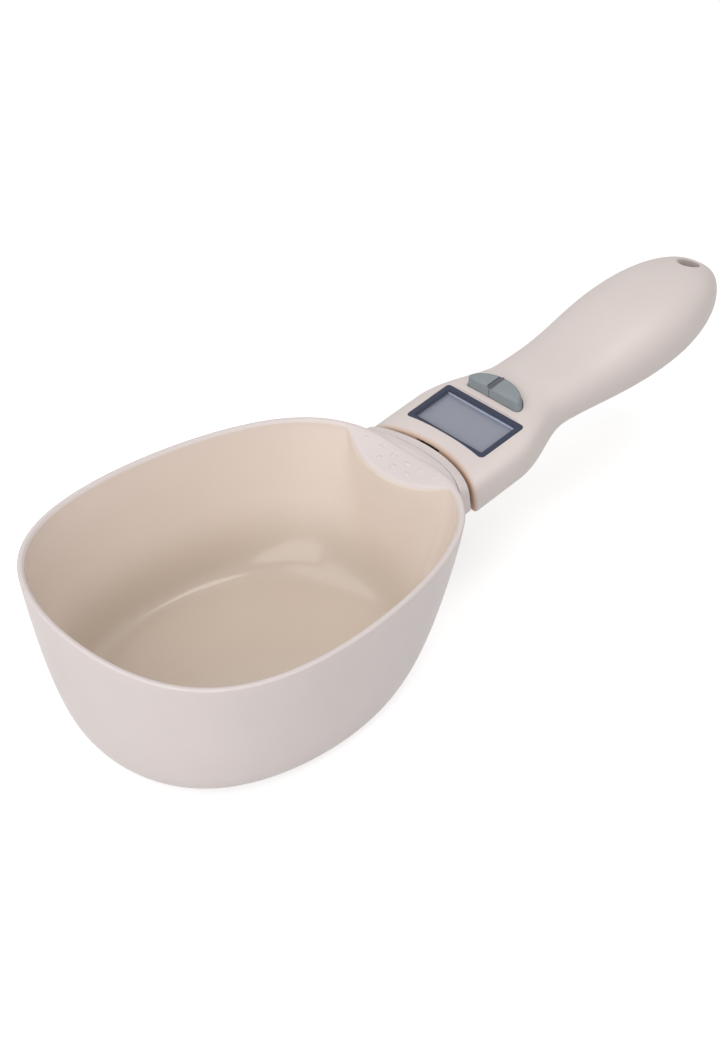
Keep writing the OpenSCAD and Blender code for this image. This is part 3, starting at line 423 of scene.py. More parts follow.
NODE_FINISHES: dict[str, Finish] = {
    "neck_screws": STEEL, "cover_screws": STEEL, "load_cell_screws": STEEL, "board_screws": STEEL,
    "lcd_glass": DISPLAY, "lcd_frame": WHITE, "zebra_strips": STRIP, "circuit_board": BOARD,
    "board_chips": PACKAGE, "board_parts": COMPONENT, "key_web": KEY_WEB, "unit_plunger": PACKAGE,
    "power_plunger": PACKAGE, "switch_bodies": NICKEL, "load_cell": ALLOY, "strain_gauges": GAUGE,
    "gap_seal": SEAL, "sensor_wires": WIRE_RED, "battery_tray": WHITE, "battery_cells": JACKET,
    "battery_springs": NICKEL, "contact_plates": NICKEL, "battery_wires": WIRE_BLACK,
}


def dress(piece: Piece, slot: str, *finishes: Finish) -> Piece:
    """Gives a piece its materials; the argument slot, the record's slot that it takes its finish from, is
    not used.
    """
    piece.data.materials.clear()
    for finish in finishes:
        piece.data.materials.append(finish.material())
    return piece


# The bowl


@dataclass
class Bowl:
    """The deep oval bowl with its grip ledge and nine dots. Sizes in millimetres."""

    length: float = 117.7
    width: float = 94.7
    height: float = 45.0
    wall: float = 1.8
    floor: float = 2.2
    base_length: float = 76.0
    base_width: float = 66.0
    shift: float = 8.0
    ledge_depth: float = 10.9
    ledge_r: float = 36.0
    ledge_drop: float = 3.0
    ledge_back: float = 0.1
    neck_dip: float = 1.5
    dip_angle: float = 26.0
    edge_step: float = 0.6
    lip_r: float = 0.55
    ledge_soft: float = 0.4
    crease: float = 0.4
    dot_r: float = 1.008
    dot_h: float = 0.42
    dot_sunk: float = 0.1
    dot_rows: tuple[tuple[float, int], ...] = ((3.7, 6), (6.6, 3))
    dot_pitch: float = 5.3
    around: int = 360

    @property
    def end_x(self) -> float:
        """Place of the rim's handle end."""
        return self.shift + self.length / 2

    @staticmethod
    def outline(l: float, w: float, blunt: float, sx: float, sy: float, narrow: float, a: Array) -> Array:
        """An oval from waves of one, two and three turns, blunter or narrower towards one end."""
        x = (l / 2 - sx) * np.cos(a) + sx * np.cos(3 * a) + blunt * (np.cos(2 * a) - 1)
        y = (w / 2 + sy) * np.sin(a) + sy * np.sin(3 * a) - narrow * np.sin(2 * a)
        return np.stack([x, y], -1)

    def wall_at(self, a: Array, s: Array | float) -> Array:
        """The wall's outline at the part s of the depth: a blend from the rim's oval to the base's."""
        s = s + 0 * a
        rim = self.outline(self.length, self.width, -2.8, -3.1, 1.3, 4.5, a) + [self.shift, 0.0]
        base = self.outline(self.base_length, self.base_width, 3.0, 0.0, 0.0, -3.6, a)
        lean = 1 - (1 - 0.22 * s) * np.maximum(0.0, 1 - s**1.43) ** (1 / 4.24)
        return rim + (base - rim) * lean[..., None]

    def inset(self, a: Array, s: float, d: float) -> Array:
        """The wall's outline moved inwards by d, square to itself."""
        q = self.wall_at(a + 0.008, s) - self.wall_at(a - 0.008, s)
        n = np.stack([-q[..., 1], q[..., 0]], -1) / np.linalg.norm(q, axis=-1, keepdims=True)
        return self.wall_at(a, s) + n * d

    def at_ledge(self, p: Array, soft: float = 0.0) -> Array:
        """Points past the ledge's round edge, drawn back to it towards the mouth's middle.

        The crease between edge and wall is filled by the smooth minimum of both, of the width soft.
        """
        mid = np.array([self.shift, 0.0])
        q = p - mid
        c = self.end_x - self.ledge_depth + self.ledge_r - self.shift
        r = np.linalg.norm(q, axis=-1)
        b = q[..., 0] * c / r
        h = b * b - c * c + self.ledge_r**2
        reach = b - np.sqrt(np.maximum(h, 0.0))
        fill = soft * ease(h / 300.0)
        low = (r + reach) / 2 - np.sqrt(((r - reach) / 2) ** 2 + fill**2)
        return np.where(((b > 0) & (h > 0))[..., None], mid + q / r[..., None] * low[..., None], p)

    def inner(self, a: Array, s: float, soft: float = 0.0) -> Array:
        """The inner wall's outline at the part s of the depth, drawn back to the ledge."""
        return self.at_ledge(self.inset(a, s, self.wall + self.ledge_back), soft)

    def dip(self, a: Array) -> Array:
        """How far the rim dips at the neck: half a cosine wave either side of it."""
        part = np.clip(np.abs(np.degrees(a)) / self.dip_angle, 0.0, 1.0)
        return self.neck_dip * (1 + np.cos(np.pi * part)) / 2

    def edge_z(self, a: Array) -> Array:
        """Height of the inner wall's upper end, which falls with the ledge's slope."""
        p = self.inset(a, 0.0, self.wall)
        back = np.linalg.norm(p - self.at_ledge(p), axis=-1)
        fall = self.ledge_drop * back / (self.ledge_depth - self.wall)
        return self.height - self.edge_step - fall - self.dip(a) * np.maximum(0.0, 1 - fall)

    def rows(self) -> tuple[Array, int]:
        """All rings of the bowl from the underside's middle over the rim to the floor's middle.

        Returns:
            The rings as an array, and how many of them come before the inner wall.
        """
        a = np.radians(np.linspace(-180, 180, self.around, endpoint=False))
        rim_z = self.height - self.dip(a)
        round_z = rim_z - self.lip_r
        depth = np.sin(np.linspace(0, np.pi / 2, 56)) ** 0.9
        rings = [lift(self.wall_at(a, 1.0) * t, 0.0) for t in (0.3, 0.6, 0.8, 0.9, 0.96)]
        rings += [lift(self.wall_at(a, s), round_z * (1 - s)) for s in depth[::-1]]
        for t in quarter(7)[1:]:
            lip = self.inset(a, 0.0, self.lip_r * (1 - np.cos(t)))
            rings.append(lift(lip, round_z + self.lip_r * np.sin(t)))
        start = lift(self.inset(a, 0.0, self.wall - self.lip_r), rim_z)
        edge = lift(self.inner(a, 0.0, self.crease), self.edge_z(a))
        far = np.linalg.norm((edge - start)[:, :2], axis=-1)
        soft = np.clip(far * self.ledge_soft, 0.25, 1.7) / np.maximum(far, 1e-6)
        rings += [mix(start, edge, ((1 - soft) * t)[:, None]) for t in np.linspace(0, 1, 14)]
        top = edge[:, 2] - np.clip(far * self.ledge_soft, 0.3, 1.7)
        slope, under = rings[-1], lift(edge[:, :2], top)
        for t in np.linspace(0, 1, 11)[1:-1]:
            rings.append((1 - t) ** 2 * slope + 2 * t * (1 - t) * edge + t * t * under)
        before = len(rings)
        for s in depth:
            wall = self.inner(a, s, self.crease + 5.0 * s * (1 - s))
            rings.append(lift(wall, top * (1 - s) + self.floor * s))
        floor = self.inner(a, 1.0, self.crease)
        rings += [lift(floor * t, self.floor) for t in (0.97, 0.9, 0.75, 0.5, 0.25)]
        return np.stack(rings), before

    def body(self) -> Piece:
        """The bowl's closed skin, with the inside in a finish of its own.

        Each ring is the wall's oval at one depth; the rings run from the underside's middle, up the
        outside, round the lip, down the ledge and the inner wall, to the floor's middle.
        """
        rings, before = self.rows()
        count, n = rings.shape[:2]
        points = np.concatenate([rings.reshape(-1, 3), [[0.0, 0.0, 0.0], [0.0, 0.0, self.floor]]])
        under = fan(np.arange(n), count * n)[:, ::-1]
        floor = fan(np.arange(n) + (count - 1) * n, count * n + 1)
        piece = build("bowl_skin", points, [quads(count, n), under, floor], "scale_body", 50)
        inner = np.zeros(len(piece.data.polygons), np.int32)
        inner[(before - 4) * n : (count - 1) * n] = 1
        inner[-n:] = 1
        dress(piece, "bowl_plastic", BOWL_OUTSIDE, BOWL_INSIDE)
        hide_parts("scoop_bowl")
        piece.data.polygons.foreach_set("material_index", inner)
        return piece

    def ledge_z(self, at: Array) -> Array:
        """Height of the ledge at some places: a straight slope from the rim to the edge."""
        a = np.arcsin(at[:, 1] / (self.width / 2))
        start = self.inset(a, 0.0, self.wall - self.lip_r)[:, 0]
        t = (start - at[:, 0]) / (start - self.inner(a, 0.0)[:, 0])
        return mix(self.height - self.dip(a), self.edge_z(a), t)

    def dots(self) -> Piece:
        """The nine grip dots: domes whose section is half an ellipse."""
        at = np.array([
            (self.end_x - back, (i - (count - 1) / 2) * self.dot_pitch)
            for back, count in self.dot_rows for i in range(count)
        ])
        a = turn(15)
        domes = [
            lift(np.stack([np.cos(a), np.sin(a)], -1) * self.dot_r * t, self.dot_h * math.sqrt(1 - t * t))
            for t in np.linspace(1, 0.001, 9)
        ]
        points = np.stack(domes) + (lift(at, self.ledge_z(at)) - [0, 0, self.dot_sunk])[:, None, None]
        piece = build("ledge_dots", points, lofts(points), "scale_body", 60)
        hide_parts("scoop_bowl")
        return dress(piece, "bowl_plastic", BOWL_OUTSIDE)

    def make(self) -> list[Piece]:
        """The bowl's skin and its dots."""
        return [self.body(), self.dots()]


# The handle


@dataclass
class Handle:
    """The handle's outer form, in a frame of its own: u along it, v to its side, w out of the display.

    The width, the top and the underside are curves along u, and the section between them is a
    superellipse. All sizes are in millimetres.
    """

    bowl: Bowl
    tilt: float = 8.1
    reach: float = 21.5
    drop: float = 1.0
    tip: float = 105.0
    tip_w: float = -9.8
    waist_u: float = 27.0
    bulb_u: float = 70.0
    head_w: float = 41.4
    neck_w: float = 28.4
    bulb_w: float = 34.6
    head_top: float = 0.5
    waist_top: float = -0.1
    bulb_top: float = 1.7
    head_t: float = 14.1
    bulb_t: float = 22.4
    wall: float = 1.8
    collar_w: float = 41.0
    collar_h: float = 12.4
    collar_l: float = 3.0
    collar_r: float = 44.6
    gap: float = 1.1
    seam: float = 36.0
    seam_gap: float = 0.6
    door_gap: float = 0.25
    bay_u: float = 43.0
    hinge_u: float = 90.2
    hinge_r: float = 1.0
    hang_r: float = 3.3
    hang_inset: float = 7.6
    edge_r: float = 1.4
    mouth_v: float = 6.9
    mouth_w: Pair = (-11.55, -1.95)
    angle_step: float = 1.75
    station_step: float = 1.3

    @property
    def centre_u(self) -> float:
        """Centre of the collar's rounded end."""
        return 7.0 - self.reach - self.collar_r

    @property
    def front_r(self) -> float:
        """Radius of the head's hollow front."""
        return self.collar_r + self.gap

    @property
    def hang_u(self) -> float:
        """Place of the hanging hole."""
        return self.tip - self.hang_inset

    @property
    def hinge_w(self) -> float:
        """Height of the door's hinge, just inside the underside."""
        return float(self.low_w(np.array(self.hinge_u), 0.0)) + self.hinge_r

    def world(self, p: Array) -> Array:
        """Points of the handle's frame, tilted up and moved to the row frame."""
        t = math.radians(self.tilt)
        x = self.bowl.end_x + self.reach + p[..., 0] * math.cos(t) - p[..., 2] * math.sin(t)
        z = self.bowl.height - self.drop + p[..., 0] * math.sin(t) + p[..., 2] * math.cos(t)
        return np.stack([x, p[..., 1], z], -1)

    def local(self, p: Array) -> Array:
        """Points of the row frame, turned back into the handle's frame."""
        t = math.radians(self.tilt)
        x = p[..., 0] - self.bowl.end_x - self.reach
        z = p[..., 2] - self.bowl.height + self.drop
        u = x * math.cos(t) + z * math.sin(t)
        return np.stack([u, p[..., 1], z * math.cos(t) - x * math.sin(t)], -1)

    def solid(self, name: str, rings: Array | list[Array], body: str = "", sharp: float = 38.0) -> Piece:
        """A closed stack of rings of this frame, as a piece or a cutter."""
        rings = np.asarray(rings)
        return build(name, self.world(rings), loft(rings), body, sharp)

    def tail(self, u: Array) -> Array:
        """Part of the way from the bulb to the tip."""
        return np.clip((u - self.bulb_u) / (self.tip - self.bulb_u), 0.0, 1.0)

    def closing(self, u: Array, power: float) -> Array:
        """Share that is left of a size as it closes to the tip; a power of 2 makes a quarter ellipse."""
        return np.sqrt(np.maximum(0.0, 1 - self.tail(u) ** power))

    def half_w(self, u: Array, d: Array) -> Array:
        """Half the width, moved inwards by d."""
        widths = (self.head_w / 2, self.neck_w / 2, self.bulb_w / 2)
        return (span(widths, (0.0, self.waist_u, self.bulb_u), u) - d) * self.closing(u, 2)

    def top_w(self, u: Array, d: Array) -> Array:
        """Height of the top, moved inwards by d."""
        w = span((self.head_top, self.waist_top, self.bulb_top), (24.0, 42.0, self.bulb_u), u) - d
        end = self.tip_w + (self.bulb_top - d - self.tip_w) * self.closing(u, 3)
        return np.where(u < self.bulb_u, w, end)

    def low_w(self, u: Array, d: Array) -> Array:
        """Height of the underside, moved inwards by d."""
        w = span((self.head_top - self.head_t, self.bulb_top - self.bulb_t), (6.0, self.bulb_u), u) + d
        end = self.tip_w - (self.tip_w - self.bulb_top + self.bulb_t - d) * self.closing(u, 2.3)
        return np.where(u < self.bulb_u, w, end)

    def power(self, u: Array) -> Array:
        """Squareness of the section: 4 at the head, 2.4 at the grip."""
        return span((4.0, 2.4), (7.0, self.waist_u), u)

    def at(self, u: Array, f: Array, d: Array) -> Array:
        """The surface's point at the place u and the angle f, moved inwards by d."""
        u, f, d = np.broadcast_arrays(np.asarray(u, float), f, d)
        v, w = oval(self.half_w(u, d), self.top_w(u, d), self.low_w(u, d), 2 / self.power(u), f)
        return np.stack([u - d * self.tail(u), v, w], -1)

    def over_w(self, u: Array, v: Array, sign: float = 1.0) -> Array:
        """Height of the top, or with sign -1 of the underside, at the places u, v."""
        u, v = np.broadcast_arrays(np.asarray(u, float), np.asarray(v, float))
        n = self.power(u)
        top, low = self.top_w(u, 0.0), self.low_w(u, 0.0)
        side = np.clip(np.abs(v) / self.half_w(u, 0.0), 0.0, 0.999)
        return (top + low) / 2 + sign * (top - low) / 2 * (1 - side**n) ** (1 / n)

    def arc(self, v: Array, r: float) -> Array:
        """Place along the handle of an arc of radius r about the collar's centre."""
        return self.centre_u + np.sqrt(r * r - v * v)

    def on_arc(self, p: Array, r: float, back: float = 0.0) -> Array:
        """Points slid along the handle to the arc of radius r, or a little further back."""
        return np.stack([self.arc(p[..., 1], r) + back, p[..., 1], p[..., 2]], -1)

    def angles(self, start: float, end: float) -> Array:
        """Section angles in radians, spread so that they lie evenly over the head's flat top."""
        f = np.linspace(start, end, round((end - start) / self.angle_step) + 1)
        inside = np.clip(np.minimum(f - start, end - f) / 20.0, 0.0, 1.0)
        return np.radians(f + 9.0 * np.sin(np.radians(4 * f)) * inside)

    def under(self, gap: float) -> Array:
        """Section angles of the underside, from seam to seam with a gap beside both."""
        return self.angles(180 + self.seam + gap, 360 - self.seam - gap)

    def stations(self, start: float, end: float, least: float = 0.4) -> Array:
        """Rising places of the sections, closing up as a sine towards the tip, where there is none."""
        step, straight, tip = self.station_step, min(end, self.bulb_u), end == self.tip
        body = np.arange(math.ceil(start / step) * step, straight, step)
        body = body[(body > start + least) & (body < straight - least)]
        round_u = self.bulb_u + (self.tip - self.bulb_u) * np.sin(np.radians(np.arange(0.0, 89.6, 2.2)))
        round_u = round_u[(round_u > start + least) & (round_u < end - (0.004 if tip else least))]
        return np.concatenate([[start], body, round_u, [] if tip else [end]])

    def front(self, f: Array, inner: bool) -> list[Array]:
        """Rows of points over the angles f: a quarter round at the front's edge, then in to the mouth.

        The wall's inner face has no round of its own.
        """
        out: list[Array] = []
        r = self.front_r + (self.wall if inner else 0.0)
        if not inner:
            for t in quarter(8):
                edge = self.at(0.0, f, self.edge_r * (1 - np.cos(t)))
                out.append(self.on_arc(edge, r, self.edge_r * (1 - np.sin(t))))
        rim = self.at(0.0, f, self.wall if inner else self.edge_r)
        mouth = np.stack([0 * f, *oval(self.mouth_v, self.mouth_w[1], self.mouth_w[0], 0.5, f)], -1)
        parts = np.linspace(0, 1, 7)[0 if inner else 1 :]
        return out + [self.on_arc(mix(rim, mouth, t), r) for t in parts]

    def wall_piece(self, name: str, f: Array, us: Array, front: bool = False, tip: bool = False) -> Piece:
        """A closed thin wall over the section angles f.

        One loop per angle runs along the outside towards the front, in over the front wall, and back
        along the inside; the loops are swept over the angles, and the last two points are the tip.

        Args:
            name: The piece's name.
            f: Section angles.
            us: Places of the sections, rising.
            front: Whether the piece has the head's front wall.
            tip: Whether the piece closes at the handle's tip.

        Returns:
            The piece, riding on no body yet.
        """
        loop = [self.at(u, f, 0.0) for u in us[::-1]]
        if front:
            loop += self.front(f, False) + self.front(f, True)[::-1]
        loop += [self.at(u, f, self.wall) for u in us]
        points = self.world(np.stack(loop, 1))
        count, m = points.shape[:2]
        points = points.reshape(-1, 3)
        end = (count - 1) * m
        faces = [quads(count, m, closed=not tip)]
        k = np.arange(m // 2 - 1)
        caps = [np.stack([k, k + 1, m - 2 - k, m - 1 - k], -1)]
        if m % 2:
            caps.append(np.array([[m // 2 - 1, m // 2, m // 2 + 1]]))
        for cap in caps:
            faces += [cap[:, ::-1], cap + end]
        if tip:
            ends = np.array([[self.tip, 0.0, self.tip_w], [self.tip - self.wall, 0.0, self.tip_w]])
            points = np.concatenate([points, self.world(ends)])
            out, back = count * m, count * m + 1
            j = np.arange(count - 1) * m
            faces.append(np.stack([j, j + m, np.full_like(j, out)], -1))
            faces.append(np.stack([j + 2 * m - 1, j + m - 1, np.full_like(j, back)], -1))
            faces.append(np.array([[0, out, back, m - 1], [end, end + m - 1, back, out]]))
        return build(name, points, faces, sharp=40)

    def prism(self, outline: Array, low: float, high: float) -> Piece:
        """A straight cutter over the outline from the height low to the height high."""
        return self.solid("cutter", [lift(outline, low), lift(outline, high)])

    def well(self, outline: Array, low: float, lip: float, over: float = 3.0, sign: float = 1.0) -> Piece:
        """A cutter with a rounded mouth that follows the handle's surface.

        The outline is carried straight up from the height low, and flares by a quarter round of
        radius lip where it meets the surface.

        Args:
            outline: Closed outline of u, v places, turning from u towards v.
            low: Height of the cutter's bottom.
            lip: Radius of the flare.
            over: How far the cutter stands out of the surface.
            sign: 1 for the top surface, -1 for the underside.

        Returns:
            The closed cutter.
        """
        normals = outward(outline)
        steps = [(lip * (1 - math.cos(t)), lip * (math.sin(t) - 1)) for t in quarter(7)]
        rings = [lift(outline, low)]
        for out, down in steps + [(lip + 0.02, 0.05), (lip + 0.3, over)]:
            p = outline + normals * out
            rings.append(lift(p, self.over_w(p[:, 0], p[:, 1], sign) + sign * down))
        stack = np.stack(rings)
        faces = loft(stack) if sign > 0 else [x[:, ::-1] for x in loft(stack)]
        return build("cutter", self.world(stack), faces)


@dataclass
class Neck:
    """The neck between bowl and handle: the bowl's moulded shoulder and the collar. In millimetres."""

    handle: Handle
    inside: float = 0.35
    start_r: float = 0.2
    edge_r: float = 0.3
    seam: float = 0.1
    mid_w: float = -5.7
    screw_v: float = 8.7
    screw_w: float = -6.6
    screw_deep: float = 1.6
    bar_screw_u: Pair = (-24.0, -18.8)
    bar_screw_deep: float = 0.55
    head_r: float = 1.95
    chamfer: float = 0.3

    def top_w(self, u: Array) -> Array:
        """Height of the neck's top: from just under the rim to the head's top, as half a cosine wave."""
        h = self.handle
        t = math.radians(h.tilt)
        rim = (h.drop - h.bowl.neck_dip) / math.cos(t) + (h.reach - 0.2) * math.tan(t) - 0.15
        return mix(rim, h.head_top, ease((u + h.reach) / 7.0))

    def section(self, u: Array, f: Array, d: float) -> Array:
        """A superellipse of the fourth power at the place u, moved inwards by d."""
        h = self.handle
        v, w = oval(h.collar_w / 2 - d, self.top_w(u) - d, h.head_top - h.collar_h + d, 0.5, f)
        return np.stack([u, v + 0 * u, w], -1)

    def on(self, r: float, f: Array, d: float) -> Array:
        """The section that lies on the arc of radius r about the collar's centre, moved inwards by d."""
        side = self.section(0 * f, f, d)[..., 1]
        return self.section(self.handle.arc(side, r), f, d)

    def bowl_u(self, f: Array) -> Array:
        """Place along the handle at which each line of the neck has just entered the bowl's wall.

        The wall's angle for a line's side is found by Newton's steps on the wall's width, and the line
        then moves by what it lacks along the bowl's length.
        """
        bowl = self.handle.bowl
        u = np.full_like(f, -23.0)
        for _ in range(12):
            p = self.handle.world(self.section(u, f, 0.0))
            a = np.arcsin(p[..., 1] / 50.0)
            for _ in range(6):
                s = np.clip(1 - p[..., 2] / (bowl.height - bowl.dip(a)), 0.0, 1.0)
                y = bowl.wall_at(a, s)[..., 1]
                a = a + (p[..., 1] - y) / ((bowl.wall_at(a + 0.01, s)[..., 1] - y) / 0.01)
            u = u + bowl.wall_at(a, s)[..., 0] - self.inside - p[..., 0]
        return u

    def sleeve(
        self, name: str, f: Array, r: float, start: Array | None = None, r_from: float = 0.0
    ) -> Piece:
        """A closed length of the neck that ends in an arc about the collar's centre, with rounded edges.

        Args:
            name: The piece's name.
            f: Section angles, a full turn.
            r: Radius of the arc that it ends in.
            start: Place of its start for each angle, or None for an arc there too.
            r_from: Radius of the arc that it starts from.

        Returns:
            The piece on the scale's body.
        """
        h = self.handle
        mid = np.array([0.0, 0.0, self.mid_w])
        if start is None:
            first = self.on(r_from, f, self.start_r)
            rows = [h.on_arc(mix(mid, first, t), r_from) for t in np.linspace(0.0, 1.0, 6)]
            for t in quarter(4)[1:]:
                out = self.start_r * (1 - math.cos(t))
                rows.append(self.on(r_from + out, f, self.start_r * (1 - math.sin(t))))
            start = self.on(r_from + self.start_r, f, 0.0)[..., 0]
        else:
            rows = [self.section(start, f, 0.0)]
        last = self.on(r - self.edge_r, f, 0.0)[..., 0]
        rows += [self.section(mix(start, last, t), f, 0.0) for t in np.linspace(0.0, 1.0, 10)[1:]]
        for t in quarter(7)[1:]:
            out = r - self.edge_r + self.edge_r * math.sin(t)
            rows.append(self.on(out, f, self.edge_r * (1 - math.cos(t))))
        edge = rows[-1]
        rows += [h.on_arc(mix(edge, mid, t), r) for t in np.linspace(0.0, 0.98, 7)[1:]]
        return h.solid(name, rows, "scale_body", 45)

    def borer(self, at: Triple, length: float, along: bool) -> Piece:
        """A round cutter with a chamfered mouth, along the handle or down out of the neck."""
        axes = np.eye(3) if along else np.array([[0, 0, -1], [1, 0, 0], [0, -1, 0]])
        t, r, wide = turn(7.5), self.head_r, self.head_r + self.chamfer
        rings = []
        for z, size in ((0.0, r), (length - self.chamfer, r), (length, wide), (length + 4, wide)):
            rings.append(np.stack([z + 0 * t, size * np.cos(t), size * np.sin(t)], -1) @ axes + at)
        return self.handle.solid("cutter", rings)

    def make(self) -> list[Piece]:
        """The shoulder and the collar, with the recesses of their screws."""
        h = self.handle
        f = turn(1.5)
        f = f + np.radians(9.0) * np.sin(4 * f)
        up = h.head_top - h.collar_h + self.bar_screw_deep
        shoulder = self.sleeve("neck_shoulder", f, h.collar_r - h.collar_l, start=self.bowl_u(f))
        carve(shoulder, [self.borer((u, 0.0, up), self.bar_screw_deep, False) for u in self.bar_screw_u])
        dress(shoulder, "bowl_plastic", BOWL_OUTSIDE)
        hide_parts("scoop_bowl")
        collar = self.sleeve("neck_ring", f, h.collar_r, r_from=h.collar_r - h.collar_l + self.seam)
        start = float(h.arc(np.array(self.screw_v), h.collar_r)) - self.screw_deep
        sides = (self.screw_v, -self.screw_v)
        carve(collar, [self.borer((start, v, self.screw_w), self.screw_deep, True) for v in sides])
        dress(collar, "housing_plastic", BOWL_OUTSIDE)
        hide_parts("neck_collar")
        return [shoulder, collar]


@dataclass
class Housing:
    """The handle's moulded shells, the door of the battery bay and the tube of the hanging hole."""

    handle: Handle
    screws: tuple[Pair, ...] = ((-11.0, 13.0), (-11.0, -13.0), (27.0, 7.4), (27.0, -7.4))
    bar_screws: Pair = (10.5, 15.5)
    screw_r: float = 1.95
    screw_deep: float = 0.45
    screw_lip: float = 0.3
    window: Pair = (17.4, 29.6)
    window_r: float = 1.3
    opening: Pair = (14.0, 26.2)
    window_seat: float = -1.0
    window_lip: float = 0.85
    lip: float = 0.22
    hole_lip: float = 0.9
    tube_t: float = 1.2
    slot_v: Pair = (-3.1, 5.5)
    slot_w: Pair = (-2.8, -0.35)
    hinge_clear: float = 1.7
    ridge_half: float = 5.0
    ridge_count: int = 5
    ridge_pitch: float = 1.8
    ridge_inset: float = 4.5
    ridge_size: Pair = (0.5, 0.45)
    knuckle_ends: tuple[Pair, ...] = ((6.0, 0.3), (5.9, 0.7), (5.6, 0.95), (5.3, 1.0))

    def window_outline(self) -> Array:
        """The window's opening: a round-cornered box whose side towards the bowl bulges as a parabola."""
        l, w = self.window
        straight = w / 2 - self.window_r
        flat = round_box(l, w, self.window_r)
        v = np.linspace(straight, -straight, 32)[1:-1]
        near = np.stack([np.full_like(v, -l / 2), v], -1)
        out = np.concatenate([flat[: len(flat) // 2], near, flat[len(flat) // 2 :]])
        bulge = self.window_lip * np.maximum(0.0, 1 - (out[:, 1] / straight) ** 2)
        out[:, 0] += np.where(out[:, 0] < 0, bulge, 0.0)
        return out

    def upper(self) -> Piece:
        """The upper shell with its openings: display, keys, hanging hole and the front edge's slot."""
        h = self.handle
        f = h.angles(-h.seam, 180 + h.seam)
        piece = h.wall_piece("handle_upper", f, h.stations(-10.0, h.tip), front=True, tip=True)
        front = float(h.arc(np.array(0.0), h.front_r))
        slot = round_box(4.0, self.slot_v[1] - self.slot_v[0], 0.1, (front + 0.5, sum(self.slot_v) / 2))
        carve(piece, [
            h.prism(round_box(*self.window, self.window_r), self.window_seat, 0.02),
            h.well(self.window_outline(), -0.4, self.lip),
            h.prism(round_box(*self.opening, 0.5), -4.0, -0.5),
            h.well(KeyPad(h).whole(), -3.0, 0.15),
            h.well(circle(h.hang_r, (h.hang_u, 0.0)), -9.0, self.hole_lip),
            h.prism(slot, *self.slot_w),
        ])
        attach(piece, "scale_body")
        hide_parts("handle_shell")
        return dress(piece, "housing_plastic", HOUSING)

    def recess(self, u: float, v: float) -> Piece:
        """A cutter for a screw's recess in the underside."""
        h = self.handle
        low = float(h.over_w(np.array(u), np.array(v), -1.0)) + self.screw_deep
        return h.well(circle(self.screw_r, (u, v), 40), low, self.screw_lip, sign=-1.0)

    def cover(self) -> Piece:
        """The cover under the head, with recesses for its screws."""
        h = self.handle
        us = h.stations(-10.0, h.bay_u)
        piece = h.wall_piece("head_cover", h.under(h.seam_gap), us, front=True)
        spots = self.screws + tuple((u, 0.0) for u in self.bar_screws)
        carve(piece, [self.recess(u, v) for u, v in spots])
        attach(piece, "scale_body")
        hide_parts("handle_cover")
        return dress(piece, "housing_plastic", HOUSING_LOW_SHADED)

    def end_cover(self) -> Piece:
        """The small cover under the tip, with the hanging hole's lower mouth and room for the hinge."""
        h = self.handle
        us = h.stations(h.hinge_u + h.door_gap, h.tip)
        piece = h.wall_piece("tip_cover", h.under(h.seam_gap), us, tip=True)
        hole = h.well(circle(h.hang_r, (h.hang_u, 0.0)), -10.5, self.hole_lip, 4.0, -1.0)
        room = self.rod(np.array([[-20.0, self.hinge_clear], [20.0, self.hinge_clear]]))
        carve(piece, [hole, h.solid("cutter", room)])
        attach(piece, "scale_body")
        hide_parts("tail_cover")
        return dress(piece, "housing_plastic", HOUSING_LOW_SHADED)

    def rod(self, ends: Array) -> Array:
        """Rings about the hinge's axis, from pairs of a place along it and a radius."""
        h, t = self.handle, turn(10)
        side, r = ends[:, :1], ends[:, 1:]
        return np.stack([h.hinge_u + r * np.cos(t), side + 0 * t, h.hinge_w - r * np.sin(t)], -1)

    def door(self) -> Piece:
        """The battery door."""
        h = self.handle
        us = h.stations(h.bay_u + h.door_gap, h.hinge_u)
        piece = h.wall_piece("bay_door", h.under(h.door_gap * 4), us)
        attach(piece, "battery_door")
        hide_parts("battery_door")
        return dress(piece, "housing_plastic", HOUSING_LOW_SHADED)

    def ridges(self) -> Piece:
        """Low ridges across the door near its free end, each half an ellipse in section."""
        h, t = self.handle, turn(22.5)
        v = np.linspace(-self.ridge_half, self.ridge_half, 25)[:, None] + 0 * t
        at = h.bay_u + self.ridge_inset + self.ridge_pitch * np.arange(self.ridge_count)
        size = np.sqrt(np.maximum(0.0, 1 - (v / self.ridge_half) ** 8))
        u = at[:, None, None] + self.ridge_size[0] * size * np.cos(t)
        w = h.over_w(u, v, -1.0) - self.ridge_size[1] * size * np.sin(t)
        rings = np.stack([u, v + 0 * u, w], -1)
        piece = build("door_ridges", h.world(rings), lofts(rings), "battery_door", 60)
        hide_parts("battery_door")
        return dress(piece, "housing_plastic", HOUSING_LOW_SHADED)

    def knuckle(self) -> Piece:
        """The door's hinge: a rod with rounded ends along the hinge's axis."""
        ends = np.array(self.knuckle_ends)
        rings = self.rod(np.concatenate([ends * [-1, 1], ends[::-1]]))
        piece = self.handle.solid("door_knuckle", rings, "battery_door", 60)
        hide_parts("battery_door")
        return dress(piece, "housing_plastic", HOUSING_LOW_SHADED)

    def tube(self) -> Piece:
        """The tube of the hanging hole, between the two walls: a ring section carried round its axis."""
        h, t = self.handle, turn(5)
        inner, outer = h.hang_r + 0.02, h.hang_r + self.tube_t
        rings = []
        for r, sign in ((inner, 1.0), (inner, -1.0), (outer, -1.0), (outer, 1.0)):
            u, v = h.hang_u + r * np.cos(t), r * np.sin(t)
            rings.append(np.stack([u, v, h.over_w(u, v, sign) - sign * (self.hole_lip + 0.25)], -1))
        stack = np.stack(rings)
        piece = build("hanging_tube", h.world(stack), hoop(stack), "scale_body", 40)
        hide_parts("hang_sleeve")
        return dress(piece, "housing_plastic", HOUSING)

    def make(self) -> list[Piece]:
        """All pieces of the housing."""
        covers = [self.upper(), self.cover(), self.end_cover()]
        return covers + [self.door(), self.ridges(), self.knuckle(), self.tube()]


